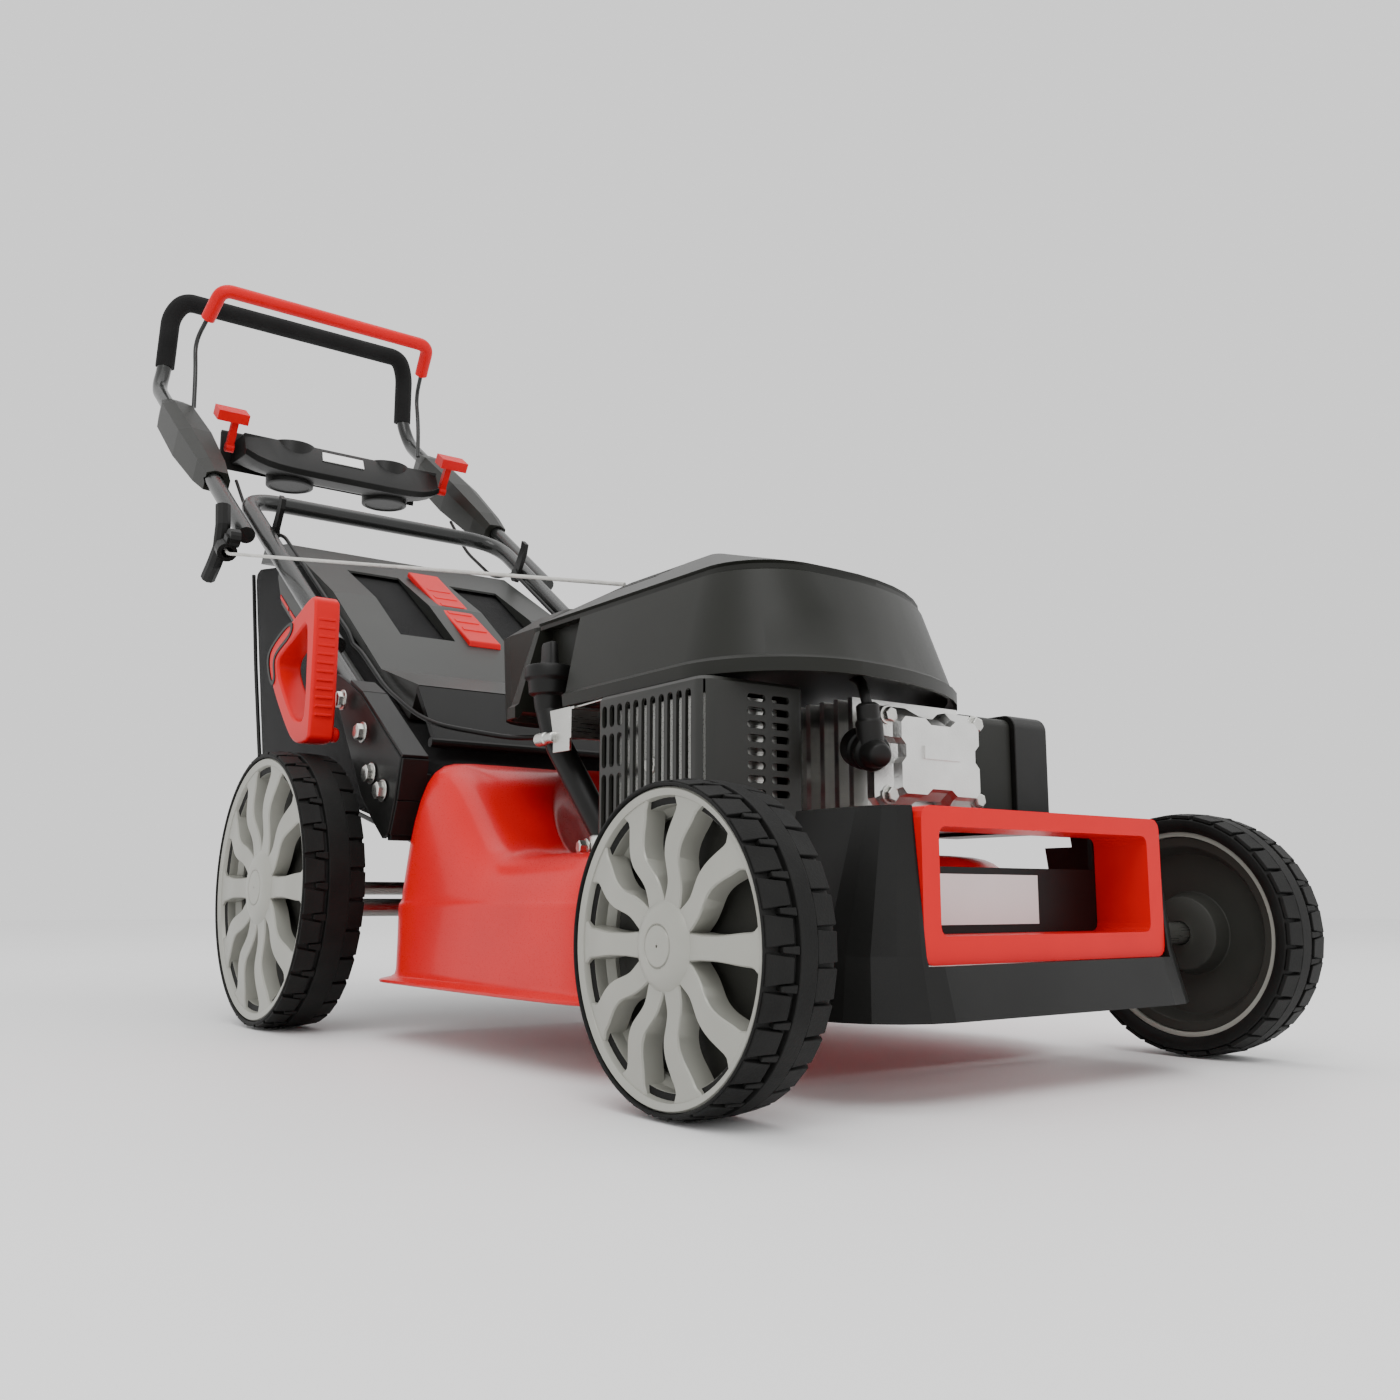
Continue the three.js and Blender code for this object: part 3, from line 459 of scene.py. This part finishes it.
def wave_spoke(index, r0, rim, place, steps=26):
    """One spoke from hub to rim as a raised ribbon; all but the two level ones bow towards the rear."""
    base = 2 * math.pi * index / SPOKES
    level = index % 5 == 0
    upper = 1 if math.sin(base) > 0 else -1
    bow = 0 if level else math.radians(7.5 if index in (2, 3, 7, 8) else 5.2)
    stack = []
    for k in range(steps + 1):
        reach = (r0 + (rim - r0) * k / steps) / rim
        swing = -upper * bow * smooth((reach - 0.38) / 0.24) * (1 - 0.6 * smooth((reach - 0.64) / 0.3))
        fillet = max(0, min(1, (reach - 0.87) / 0.075))
        hw = rim * (0.088 - 0.010 * smooth((reach - 0.28) / 0.16) + 0.026 * smooth((reach - 0.55) / 0.35)
                    + 0.055 * (1 - math.sqrt(1 - fillet * fillet)))
        face = 6.4 + 2.0 * smooth((reach - 0.3) / 0.3) - 2.6 * smooth((reach - 0.62) / 0.3)
        ring = [(-hw * 1.06, face - 15), (-hw, face - 1.2), (-hw * 0.9, face), (hw * 0.9, face),
                (hw, face - 1.2), (hw * 1.06, face - 15)]
        stack.append([place(reach * rim, base + swing + d / (reach * rim), x) for d, x in ring])
    return rings(stack)


def wheel(name, side, y, radius, width, outer_x, body):
    """A silver face with ten spokes, rim and hub, over a dark dish."""
    cx = outer_x - width / 2
    half = width / 2

    def place(r, a, x):
        return P(side * (cx + x), y + r * math.cos(a), radius + r * math.sin(a))

    def local(r, a, x):
        return place(r, a, half - 10 + x)

    rim = radius * 0.943
    n = 96

    def turned(profile):
        return rings([[place(r, 2 * math.pi * k / n, x) for k in range(n)] for r, x in profile], loop=True)

    shapes = [wave_spoke(i, radius * 0.17, rim - 2, local) for i in range(SPOKES)]
    shapes.append(turned([(rim * 0.935, half - 6), (rim * 0.945, half - 3.4), (rim - 1.2, half - 1.6),
                          (rim, half - 3), (rim, half - 6.5), (radius * 0.875, half - 8.6),
                          (radius * 0.838, half - 8.6),
                          (radius * 0.838, -half + 6), (radius * 0.80, -half + 6), (radius * 0.80, half - 22),
                          (radius * 0.86, half - 14), (rim * 0.925, half - 12)]))
    hub = rim * 0.285
    shapes.append(turned([(hub, half - 12), (hub, half - 4.0), (hub * 0.95, half - 2.6),
                          (hub * 0.86, half - 0.8), (hub * 0.74, half + 0.8), (hub * 0.60, half + 1.4),
                          (hub * 0.50, half + 1.2),
                          (hub * 0.475, half + 0.2), (hub * 0.465, half + 0.2), (hub * 0.44, half + 1.3),
                          (hub * 0.2, half + 1.5), (1.0, half + 1.5), (1.0, half - 14), (hub, half - 14)]))
    v, f = join_shapes(shapes)
    face = finish_mesh(f"{name}_face", v, f, SILVER, body, bevel=0.0009, segments=3, angle=28)
    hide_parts(name)
    deep = radius * 0.80
    dish = turned([(radius * 0.10, half - 20), (radius * 0.3, half - 24), (deep - 6, half - 27),
                   (deep - 0.3, half - 24), (deep - 0.3, -half + 8), (deep - 8, -half + 10),
                   (deep - 14, half - 31), (radius * 0.34, half - 30), (radius * 0.3, -half + 10),
                   (radius * 0.2, -half + 5), (radius * 0.095, -half + 5)])
    finish_mesh(f"{name}_dish", *dish, DARK_WHEEL, body, bevel=0.001)


# y of the axle, radius, width, outer face's x
WHEELS = {"front": (0, 100, 54, 289), "rear": (697, 140, 62, 301)}
for end, size in WHEELS.items():
    for side, hand in SIDES:
        tyre(f"tyre_{end}_{hand}", side, *size, f"{end}_wheel_{hand}")
        wheel(f"wheel_{end}_{hand}", side, *size, f"{end}_wheel_{hand}")

# ---------- handle tubes, grip, bail ----------
u_path = [W(-200, 125, 0), W(-200, 595, 4), W(200, 595, 4), W(200, 125, 0)]
lower = tube("lower_frame", u_path, 11.8, GUNMETAL, "lower_handle_body", 55)
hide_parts("lower_handle")
upper_path = [(-227, 452, 0), (-227, 1100, 4), (-216, 1140, 34), (-213, 1186, 112), (-196, 1190, 142)]
loop = [W(*p) for p in upper_path] + [W(-x, s, t) for x, s, t in reversed(upper_path)]
upper = tube("upper_frame", loop, 11.8, GUNMETAL, "upper_handle_body", 40)
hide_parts("upper_handle")
grip_pts = [W(-216, 1140, 34)] + [W(*p) for p in upper_path[3:]]
grip_pts += [W(-x, s, t) for x, s, t in reversed(upper_path[3:])] + [W(216, 1140, 34)]
foam = tube("foam_sleeve", grip_pts, 15.5, FOAM, "upper_handle_body", 36)
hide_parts("foam_grip")
rod_pts = [W(-196, 978, 18), W(-196, 1016, 66), W(-196, 1061, 106), W(-184, 1042, 175)]
for s in (-1, 1):
    pts = [Vector((p.x * -s, p.y, p.z)) for p in rod_pts]
    tube(f"bail_rod_{'right' if s < 0 else 'left'}", pts, 3.6, GUNMETAL, "bail_body", 24)
bail_pts = [W(-188, 1048, 150), W(-180, 1033, 205), W(180, 1033, 205), W(188, 1048, 150)]
bail = tube("bail_bar", bail_pts, 11, RED_PLASTIC, "bail_body", 18)
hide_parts("bail")


# ---------- deck ----------
def outline_radius(angle, x, y0, y1, r_front, r_back):
    """Distance from the crank axis to the rounded outline of the deck in that direction."""
    dx, dy = math.cos(angle), math.sin(angle)
    lo, hi = 60.0, 420.0
    for _ in range(40):
        mid = (lo + hi) / 2
        px, py = abs(mid * dx), CRANK_Y + mid * dy
        inside = px <= x and y0 <= py <= y1
        for cy, rad, sign in ((y0 + r_front, r_front, -1), (y1 - r_back, r_back, 1)):
            if px > x - rad and (py - cy) * sign > 0:
                inside = inside and math.hypot(px - (x - rad), py - cy) <= rad
        lo, hi = (mid, hi) if inside else (lo, mid)
    return lo


# the rounded shoulder: inset from the outline, and share of the fall from the top to the rim
SHOULDER = ((62, 0.0), (50, 0.008), (40, 0.03), (31, 0.08), (24, 0.16), (18, 0.28), (13, 0.43), (9, 0.6),
            (6, 0.78), (3.6, 0.93), (2.6, 1.0))
columns = []
turns = 144
for k in range(turns):
    a = 2 * math.pi * k / turns
    ro = outline_radius(a, 229, 91, 544.5, 118, 46)
    col = [(34, 165.0), (80, 165.0), (124, 165.0)]

    def height(r):
        y = CRANK_Y + r * math.sin(a)
        return 165.5 + 92.5 * smooth((y - 335) / 165) * smooth((r - 60) / 100)

    mouth = 140 + 22 * smooth(math.sin(a))
    for i in range(1, 8):
        t = i / 7
        r = 126 + (mouth - 126) * t
        col.append((r, 165 + (height(r + 14) - 165) * smooth(t)))
    col.append(((mouth + ro - 62) / 2, height((mouth + ro - 62) / 2)))
    for inset, drop in SHOULDER:
        r = ro - inset
        top = height(r)
        col.append((r, top - (top - 127) * drop))
    col += [(ro - 1.6, 125.4), (ro - 0.2, 123.6), (ro, 120), (ro, 90), (ro + 0.4, 64), (ro + 1.6, 59.6),
            (ro + 5, 57.4), (ro + 14.5, 55.4), (ro + 16.2, 54.4)]
    columns.append([P(r * math.cos(a), CRANK_Y + r * math.sin(a), z) for r, z in col])
m = len(columns[0])
verts = [p for c in columns for p in c]
faces = []
for k in range(turns):
    for i in range(m - 1):
        quad = (k * m + i, k * m + i + 1, ((k + 1) % turns) * m + i + 1, ((k + 1) % turns) * m + i)
        mid = sum((verts[j] for j in quad), Vector()) / 4
        if mid.y > P(0, 536, 0).y and abs(mid.x) < 0.15 and 0.17 < mid.z < 0.236:
            continue
        faces.append(quad)
deck = finish_mesh("deck_pressing", verts, faces, RED_PAINT, "chassis", angle=60)
mod = deck.modifiers.new("thickness", "SOLIDIFY")
mod.thickness = 0.0024
mod.offset = -1
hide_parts("deck")

# ---------- shroud ----------
# z, right, left, front, rear, radius of the front left corner, radius of the front right corner
SHROUD = [
    (292, -181, 157, 32, 388, 252, 86),
    (286, -186, 162, 27, 390, 257, 91),
    (286, -189, 165, 24, 391, 260, 94),
    (296, -189, 165, 24.5, 391, 259, 94),
    (299, -185, 161, 28.5, 391, 256, 90),
    (335, -174, 155.6, 46, 390, 245, 75),
    (368, -163.5, 150.6, 63.5, 389, 232, 60),
    (370, -158, 146, 69, 388, 226, 55),
    (374, -158, 146, 69, 388, 226, 55),
    (376, -160, 148, 68, 388, 227, 55),
    (429, -62, 62, 236, 386, 12, 12),
    (430, -60, 60, 239, 385, 11, 11),
]
v, f = rings([[P(x, y, z) for x, y in rounded(right, left, front, rear, [fl, 16, 16, fr], 14)]
              for z, right, left, front, rear, fl, fr in SHROUD])
shroud = finish_mesh("shroud_shell", v, f, DARK, "chassis", bevel=0.0012, segments=3, angle=32)
carve(shroud, profile([(281, 276), (299, 369.2), (368, 369.2), (364, 276)], -200, -150))
for i in range(7):
    x = -86 + i * 11.5
    z = 372 + (x + 162) * 58 / 102  # the height of the right slope at x
    carve(shroud, block(x - 3.4, x + 3.4, 292 - i * 4, 372, z - 6, z + 30))
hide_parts("engine_shroud")

# ---------- starter rope and cables --------
rope_pts = [P(-62, 384, 429.5), W(-252, 426, -20), W(-252, 446, -20)]
rope = tube("starter_line", rope_pts, ROPE_R, ROPE, "chassis", 6, 6)
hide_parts("starter_rope")


def cable(name, side, tail):
    """A cable in three lengths that meet on the two fold axes: upper handle, lower handle, machine."""
    x = side * CABLE_X
    lower_fold, upper_fold = W(x, FOLD_S, 0), W(x, UPPER_FOLD_S, 0)
    upper = tube(name + "_upper", [W(x, 728, -14), W(x, 640, -32), W(x, 525, -28), upper_fold], CABLE_R,
                 BLACK, "upper_handle_body", 25)
    lower = tube(name + "_lower", [upper_fold, W(x, 455, 5), W(x, 160, 5), lower_fold], CABLE_R, BLACK,
                 "lower_handle_body", 12)
    route = [lower_fold, W(x, 110, 4), W(x, 20, 4), P(side * 177, 600, 318), P(side * 177, 545, 300)]
    rest = tube(name, route + [P(*p) for p in tail], CABLE_R, BLACK, "chassis", 25)
    return [upper, lower, rest]


right_cable = cable("control_line", -1, [(-130, 480, 284), (-125, 300, 268), (-125, 242, 262)])
left_cable = cable("drive_line", 1, [(140, 500, 274), (110, 450, 268)])
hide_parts("control_cable")
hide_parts("drive_cable")
for c in [rope] + right_cable + left_cable:
    start = Vector(c.data.splines[0].points[0].co[:3])
    spline_length(c)

# ---------- materials on carried-over nodes ----------
LOOKS = {
    RED_PLASTIC: ["front_grip", "drive_lever", "throttle_lever"],
    BLACK: ["front_cover", "rear_flap", "clamp_right", "clamp_left", "rope_guide", "recoil_grip", "fuel_cap",
            "gearbox_pulley", "drive_belt"],
    DARK: ["fuel_tank", "side_cover_right", "side_cover_left"],
    LID: ["bag_lid"],
    STEEL: ["front_axle", "rear_axle", "height_link", "crankshaft", "blade_carrier", "blade", "muffler"],
    ALU: ["gearbox", "crankcase", "cylinder", "valve_cover", "flywheel", "carburettor"],
    WHITE: ["label_plate"],
}
BEVELS = {"front_cover": 0.004, "front_grip": 0.003, "fuel_tank": 0.004, "bag_lid": 0.003,
          "side_cover_right": 0.004, "side_cover_left": 0.004}
for mat, names in LOOKS.items():
    for n in names:
        o = NODES[n]
        o.data.materials.clear()
        o.data.materials.append(mat)
        mod = o.modifiers.new("bevel", "BEVEL")
        mod.width = BEVELS.get(n, 0.0012)
        mod.segments = 3
        mod.limit_method = "ANGLE"
        mod.angle_limit = math.radians(32)
        mod.harden_normals = True
        for p in o.data.polygons:
            p.use_smooth = True
        o.data.set_sharp_from_angle(angle=math.radians(32))


# ---------- height lever ----------
def lever_place(p, x):
    return P(x, p[0], p[1])


outer = [(636, 292), (642, 286), (676, 286), (700, 300), (752, 352), (772, 382), (770, 400), (758, 410),
         (690, 424), (658, 436), (640, 438), (633, 430)]
inner = [(652, 318), (660, 308), (682, 312), (700, 326), (738, 366), (744, 380), (736, 390), (690, 402),
         (664, 412), (654, 408)]


def loop_plate(outer_pts, inner_pts, x0, x1, count=60):
    """A closed loop between two smoothed outlines in (y, z), from x0 to x1."""
    def resample(pts):
        pts = [Vector(p) for p in pts]
        for _ in range(2):
            new = []
            for a, b in zip(pts, pts[1:] + pts[:1]):
                new += [a * 0.75 + b * 0.25, a * 0.25 + b * 0.75]
            pts = new
        lengths = [0.0]
        ring = pts + pts[:1]
        for a, b in zip(ring, ring[1:]):
            lengths.append(lengths[-1] + (b - a).length)
        out, j = [], 0
        for i in range(count):
            d = lengths[-1] * i / count
            while lengths[j + 1] < d:
                j += 1
            t = (d - lengths[j]) / max(1e-9, lengths[j + 1] - lengths[j])
            out.append(ring[j] * (1 - t) + ring[j + 1] * t)
        return out
    o, n = resample(outer_pts), resample(inner_pts)
    start = min(range(count), key=lambda i: (n[i] - o[0]).length)
    n = n[start:] + n[:start]
    stack = [[lever_place(p, x0) for p in o], [lever_place(p, x1) for p in o],
             [lever_place(p, x1) for p in n], [lever_place(p, x0) for p in n]]
    return rings(stack, loop=True)


lv, lf = join_shapes([loop_plate(outer, inner, -275.5, -248.5),
                      disc(P(-248, 652, 296), (1, 0, 0), [(8, 0), (8, 8), (5, 9)], 20)])
lever = finish_mesh("lever_body", lv, lf, RED_PLASTIC, "lever_body", bevel=0.003, segments=3, angle=40)
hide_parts("height_lever")
teeth = [block(-271, -253, 633.2, 636.5, 312 + i * 9, 315 + i * 9) for i in range(12)]
lever_ribs = finish_mesh("lever_ribs", *join_shapes(teeth), RED_PLASTIC, "lever_body", bevel=0.0008)
cap_outer = [(700, 425), (770, 404), (778, 386), (758, 356), (744, 362), (752, 382), (748, 392), (696, 406)]
cap_inner = [(706, 420), (765, 401), (772, 387), (758, 362), (750, 366), (757, 382), (752, 395), (702, 409)]
cap = loop_plate(cap_outer, cap_inner, -276.5, -247.5, 48)
finish_mesh("lever_overmould", *cap, DARK, "lever_body", bevel=0.0008)

# ---------- plug boot ----------
boot = join_shapes([
    disc(P(-64, 62, 240), (-16, -36, -10), [(15, 0), (15, 16), (12.5, 18), (12.5, 26), (14, 27), (14, 31),
                                            (11, 33), (9.5, 44), (8, 47), (4, 49)], 28),
    disc(P(-76, 36, 233), (-2, 0, 20), [(10, 0), (10, 22), (8.5, 24), (8.5, 34), (6, 36)], 24),
])
boot_obj = finish_mesh("boot", *boot, BLACK, "chassis", bevel=0.001, segments=3)
lead = [P(-78, 36, 262), P(-80, 38, 276), P(-66, 56, 290), P(-58, 84, 300)]
tube("ignition_lead", lead, 4.0, BLACK, "chassis", 14)
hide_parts("plug_boot")

# ---------- bolts ----------
for side, word in SIDES:
    for i, (y, z) in enumerate(((648, 333), (591, 293), (577, 251), (548, 232))):
        x = 237 if i < 2 else 232
        hex_bolt(f"bracket_bolt_{word}_{i}", P(side * x, y, z), (side, 0, 0), "chassis", 8.6, 8.0)
for i, (x, z) in enumerate(((-48, 204), (48, 204), (-48, 264), (48, 264))):
    hex_bolt(f"valve_bolt_{i}", P(x, 47.5, z), (0, -1, 0), "chassis", 6.0, 6.0)

# ---------- grass bag ----------
BAG = [(556, 250), (557, 176), (640, 201), (820, 241), (1085, 284), (1128, 440), (1166, 594), (1001, 566),
       (820, 440), (640, 312), (566, 264)]


def subdivide(points, pieces):
    """A closed outline with each side cut into equal pieces."""
    out = []
    for (a, b), (c, d) in zip(points, points[1:] + points[:1]):
        out.extend([(a + (c - a) * k / pieces, b + (d - b) * k / pieces) for k in range(pieces)])
    return out


outline = subdivide(BAG, 6)
mid_y, mid_z = 860, 370  # the ends of the bag shrink towards this point
stack = []
# x of each section across the bag, and its share of the full outline
stations = [(-176, 0.02), (-179, 0.3), (-180.5, 0.6), (-180, 0.84), (-177, 0.97), (-168, 1.0), (-120, 1.0),
            (-60, 1.0), (0, 1.0)]
stations += [(-x, k) for x, k in reversed(stations[:-1])]
for x, k in stations:
    ring = []
    for y, z in outline:
        py, pz = mid_y + (y - mid_y) * k, mid_z + (z - mid_z) * k
        ripple = math.sin(py * 0.045 + pz * 0.02) * math.sin(pz * 0.06 + 1.3)
        depth = min(1, (180 - abs(x)) / 60)
        if z < 300 and 600 < y < 1080:
            pz -= 7 * math.sin(math.pi * (y - 600) / 480) * depth * k
        if y > 1085 and z < 560:
            py += 4 * math.sin(math.pi * (z - 284) / 300) * depth * k
        edge = 2.4 * ripple * (1 - k * 0.8)
        ring.append(P(x + (edge if x < 0 else -edge), py, pz))
    stack.append(ring)
bag = finish_mesh("bag_cloth", *rings(stack), BAG_CLOTH, "bag", subsurf=1)
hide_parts("grass_bag")
for side, word in SIDES:
    seam = [P(side * 178, y, z) for y, z in ((566, 180), (820, 242), (1080, 286), (1124, 440), (1156, 580))]
    tube(f"bag_piping_{word}", seam, 2.6, BLACK, "bag", 22)
    panel = [(-52, -22), (-52, -62), (380, -62), (420, -40), (420, -12), (-40, -12)]
    v, f = handle_profile(panel, side * 180.6, side * 184)
    finish_mesh(f"bag_rail_{word}", v, f, LID, "bag", bevel=0.0015)
    dashes = []
    for i in range(9):
        a = -30 + i * 47
        for dash in ([(a, -20), (a + 40, -20), (a + 36, -24), (a - 4, -24)],
                     [(a + 4, -52), (a + 44, -52), (a + 40, -56), (a, -56)]):
            dashes.append(handle_profile(dash, side * 183.8, side * 184.8))
    finish_mesh(f"bag_stripes_{word}", *join_shapes(dashes), RED_PLASTIC, "bag")
strip = profile([(792, 438), (792, 446), (985, 574), (990, 568), (800, 438)], -22, 22)
finish_mesh("lid_strip", *strip, RED_PLASTIC, "bag", bevel=0.002)
RIB = [(820, 462), (828, 467.5), (828, 471), (820, 466)]
ribs = [profile([(y + i * 22, z + i * 14.5) for y, z in RIB], -16, 16) for i in range(6)]
lid_ribs = finish_mesh("lid_strip_ribs", *join_shapes(ribs), RED_PLASTIC, "bag", bevel=0.0006)

# ---------- console ----------
CUP_X = 79
CUP_R = 35
CUP_LOW = 772
CUP_TOP = 838


def console_ring(x, lift, back):
    """The section of the console's shell at x: lift raises its underside and back moves its face."""
    return [P(x, 1362, 838), P(x, 1298, 838), P(x, 1294 + back * 0.4, 834),
            P(x, 1272 + back, 797 + lift * 0.5), P(x, 1267 + back, 787 + lift),
            P(x, 1272 + back, 779 + lift), P(x, 1300, 778 + lift),
            P(x, 1340, 790 + lift * 0.6), P(x, 1362, 806)]


END_X = 160
shapes = [rings([console_ring(x, 22 * abs(x / END_X) ** 6, 16 * abs(x / END_X) ** 5)
                 for x in range(-END_X, END_X + 1, 16)])]
for x in (-CUP_X, CUP_X):
    shapes.append(disc(P(x, 1322, 0), (0, 0, 1), [
        (CUP_R - 5, CUP_LOW + 2), (CUP_R - 5, CUP_LOW + 0.5), (CUP_R - 3, CUP_LOW),
        (CUP_R + 1, CUP_LOW + 1.5), (CUP_R + 3, CUP_TOP - 1.5), (CUP_R + 2.4, CUP_TOP + 0.6),
        (CUP_R, CUP_TOP + 0.6),
        (CUP_R - 2, CUP_LOW + 3)], 48))
shell = finish_mesh("console_shell", *join_shapes(shapes), BLACK, "upper_handle_body", bevel=0.0012,
                    segments=3)
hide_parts("console")
back = profile([(1360, 830), (1360, 856), (1363, 859), (1368, 859), (1370, 856), (1370, 800), (1366, 796)],
               -176, 150)
finish_mesh("console_back", *back, BLACK, "upper_handle_body", bevel=0.001)
plate = prism([(-42, 812), (26, 812), (27, 829), (-40, 829)],
              lambda p, d: P(p[0], 1281.0 + (p[1] - 812) * 0.595 - d, p[1] + d * 0.5), 0.2, 1.6)
finish_mesh("console_plate", *plate, WHITE, "upper_handle_body", bevel=0.0003)

# ---------- handle brackets ----------
BRACKET = [(618, 336), (512, 261), (522, 222), (534, 192), (548, 186), (576, 206), (606, 232), (655, 300),
           (690, 350), (684, 366), (650, 352)]
FLANGE = [(650, 352), (618, 336), (512, 261), (522, 222), (536, 190)]
for side, word in SIDES:
    plate = side_plate("bracket_plate_" + word, BRACKET, side * 228, 5, BLACK, "chassis", 0.8)
    shapes = []
    for (y0, z0), (y1, z1) in zip(FLANGE, FLANGE[1:]):
        dy, dz = y1 - y0, z1 - z0
        length = math.hypot(dy, dz)
        ny, nz = -dz / length * 3.5, dy / length * 3.5
        shapes.append(profile([(y0, z0), (y1, z1), (y1 - ny, z1 - nz), (y0 - ny, z0 - nz)],
                              side * 229, side * 202))
    finish_mesh("bracket_flange_" + word, *join_shapes(shapes), BLACK, "chassis", bevel=0.0008)
    tube("stub_tube_" + word, [W(side * 216, -60, 0), W(side * 216, 150, 0)], 12.2, GUNMETAL,
         "chassis")
    grip = disc(W(side * 228, FOLD_S, 0), (side, 0, 0),
                [(9, 0), (12, 1), (15.5, 6), (16, 14), (14.5, 24), (10, 27)], 30)
    ribs = []
    for k in (i * math.pi / 6 for i in range(12)):
        root = W(side * 234, FOLD_S, 0) + Vector((0, math.cos(k), math.sin(k))) * 0.0155
        ribs.append(disc(root, (side, 0, 0), [(2.2, 0), (2.2, 14), (1, 16)], 10))
    end_cap = disc(W(side * 216, 146, 0), W(0, 1, 0) - W(0, 0, 0),
                   [(13, 0), (13.4, 2), (13.4, 12), (11, 14)], 28)
    finish_mesh("stub_knob_" + word, *join_shapes([grip, end_cap] + ribs), BLACK, "chassis", bevel=0.0006)
    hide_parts("bracket_" + word)
    foot = block(min(side * 226, side * 186), max(side * 226, side * 186), 538, 546, 184, 250)
    finish_mesh("bracket_foot_" + word, *foot, BLACK, "chassis", bevel=0.001)

# ---------- muffler guard ----------
outline = rounded(-200, -107, 74, 211, [5, 5, 5, 11], 6)
small = rounded(-198, -109, 76, 209, [4, 4, 4, 9.5], 6)
v, f = rings([[P(x, y, 171) for x, y in outline], [P(x, y, 280.4) for x, y in outline],
              [P(x, y, 283) for x, y in small]])
guard = finish_mesh("guard_shell", v, f, GUARD, "chassis", bevel=0.0008, segments=2, angle=32)
carve(guard, block(-197.2, -109.6, 76.8, 208.2, 160, 280))
slots = []
SLOT_PITCH = 9.8
for row in range(8):
    z = 270.6 - row * SLOT_PITCH
    for x0, x1 in ((-160.5, -144), (-138, -121.5)):
        slots.append(prism(rounded(x0, x1, z - 2.6, z + 2.6, 2.5, 3), lambda p, d: P(p[0], d, p[1]), 70, 80))
for i, y in enumerate((201, 190.5, 180, 169, 158, 147, 136, 125, 114, 103, 92)):
    for z0, z1 in (((176, 222), (227, 253), (258, 275)) if i < 3 else ((176, 275),)):
        slots.append(profile(rounded(y - 3.3, y + 3.3, z0, z1, 3.2, 3), -203, -195))
carve(guard, join_shapes(slots))
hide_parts("muffler_guard")
hex_bolt("muffler_bolt_0", P(-190.5, 152, 226), (-1, 0, 0), "chassis", 5.5, 4)


# ---------- air filter ----------
def box_along(x0, x1, y0, y1, z0, z1, r, ease):
    """A box with rounded long edges, eased at its x1 end."""
    full = rounded(y0, y1, z0, z1, r, 6)
    less = rounded(y0 + ease, y1 - ease, z0 + ease, z1 - ease, r - ease, 6)
    between = [(y * 0.3 + a * 0.7, z * 0.3 + b * 0.7) for (y, z), (a, b) in zip(full, less)]
    levels = ((x0, full), (x1 - ease, full), (x1 - ease * 0.3, between), (x1, less))
    return rings([[P(x, y, z) for y, z in ring] for x, ring in levels])


base = finish_mesh("filter_base", *box_along(94, 139, 86, 196, 186, 281, 8, 1), DARK, "chassis", bevel=0.001)
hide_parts("air_filter_base")
cover_shapes = [box_along(140, 186, 82, 200, 183, 285, 12, 4),
                block(124, 150, 128, 158, 283, 288), block(128, 146, 133, 153, 287, 290)]
cover = finish_mesh("filter_cover", *join_shapes(cover_shapes), BLACK, "chassis", bevel=0.001)
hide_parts("air_filter_cover")

# ---------- oil filler ----------
oil = join_shapes([
    disc(P(-176, 328, 0), (0, 0, 1), [(11, 286), (12.5, 292), (13.5, 301), (17.5, 303), (18.5, 314),
                                      (21.5, 317), (21.8, 325), (20.5, 327.5), (8, 328.5)], 40),
    rings([[P(-176 + a, 328 + b, z) for a, b in rounded(-4.6 * k, 4.6 * k, -11 * k, 11 * k, 4 * k, 4)]
           for z, k in ((327, 1.1), (334, 0.95), (346, 0.9), (349, 0.75))]),
])
oil_top = finish_mesh("oil_grip_cap", *oil, BLACK, "oil_cap_body", bevel=0.0006)
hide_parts("oil_cap")
neck = [P(-176, 328, 290), P(-174, 318, 262), P(-150, 266, 170)]
filler = tube("oil_neck", neck, 11.5, BLACK, "chassis", 40)
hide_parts("oil_filler_tube")
post = disc(P(-150, 266, 158), (0, 0, 1), [(19, 0), (19, 20), (17, 22), (13, 22)], 32)
finish_mesh("oil_neck_seat", *post, ALU, "chassis", bevel=0.001)
hex_bolt("oil_neck_bolt", P(-168, 276, 170), (-1, 0.2, 0), "chassis", 6, 8)

# ---------- governor stay ----------
STAY = [(268, 284), (268, 248), (294, 248), (294, 262), (300, 284)]
stay = side_plate("stay_plate", STAY, -190, 2.4, STEEL, "chassis", 0.3)
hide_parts("governor_stay")
arm = join_shapes([block(-191, -120, 266, 270, 258, 283), block(-191, -120, 262, 268, 281.6, 284)])
finish_mesh("stay_arm", *arm, STEEL, "chassis", bevel=0.0006)
barrel = disc(P(-192, 290, 261), (0, 1, 0), [(3, 0), (4.6, 1), (4.6, 12), (5.6, 13), (5.6, 26), (3, 28)], 20)
finish_mesh("stay_barrel", *barrel, STEEL, "chassis", bevel=0.0004)
tube("stay_link", [P(-188, 300, 283), P(-186, 262, 284), P(-184, 226, 286)], 1.1, STEEL, "chassis", 6)
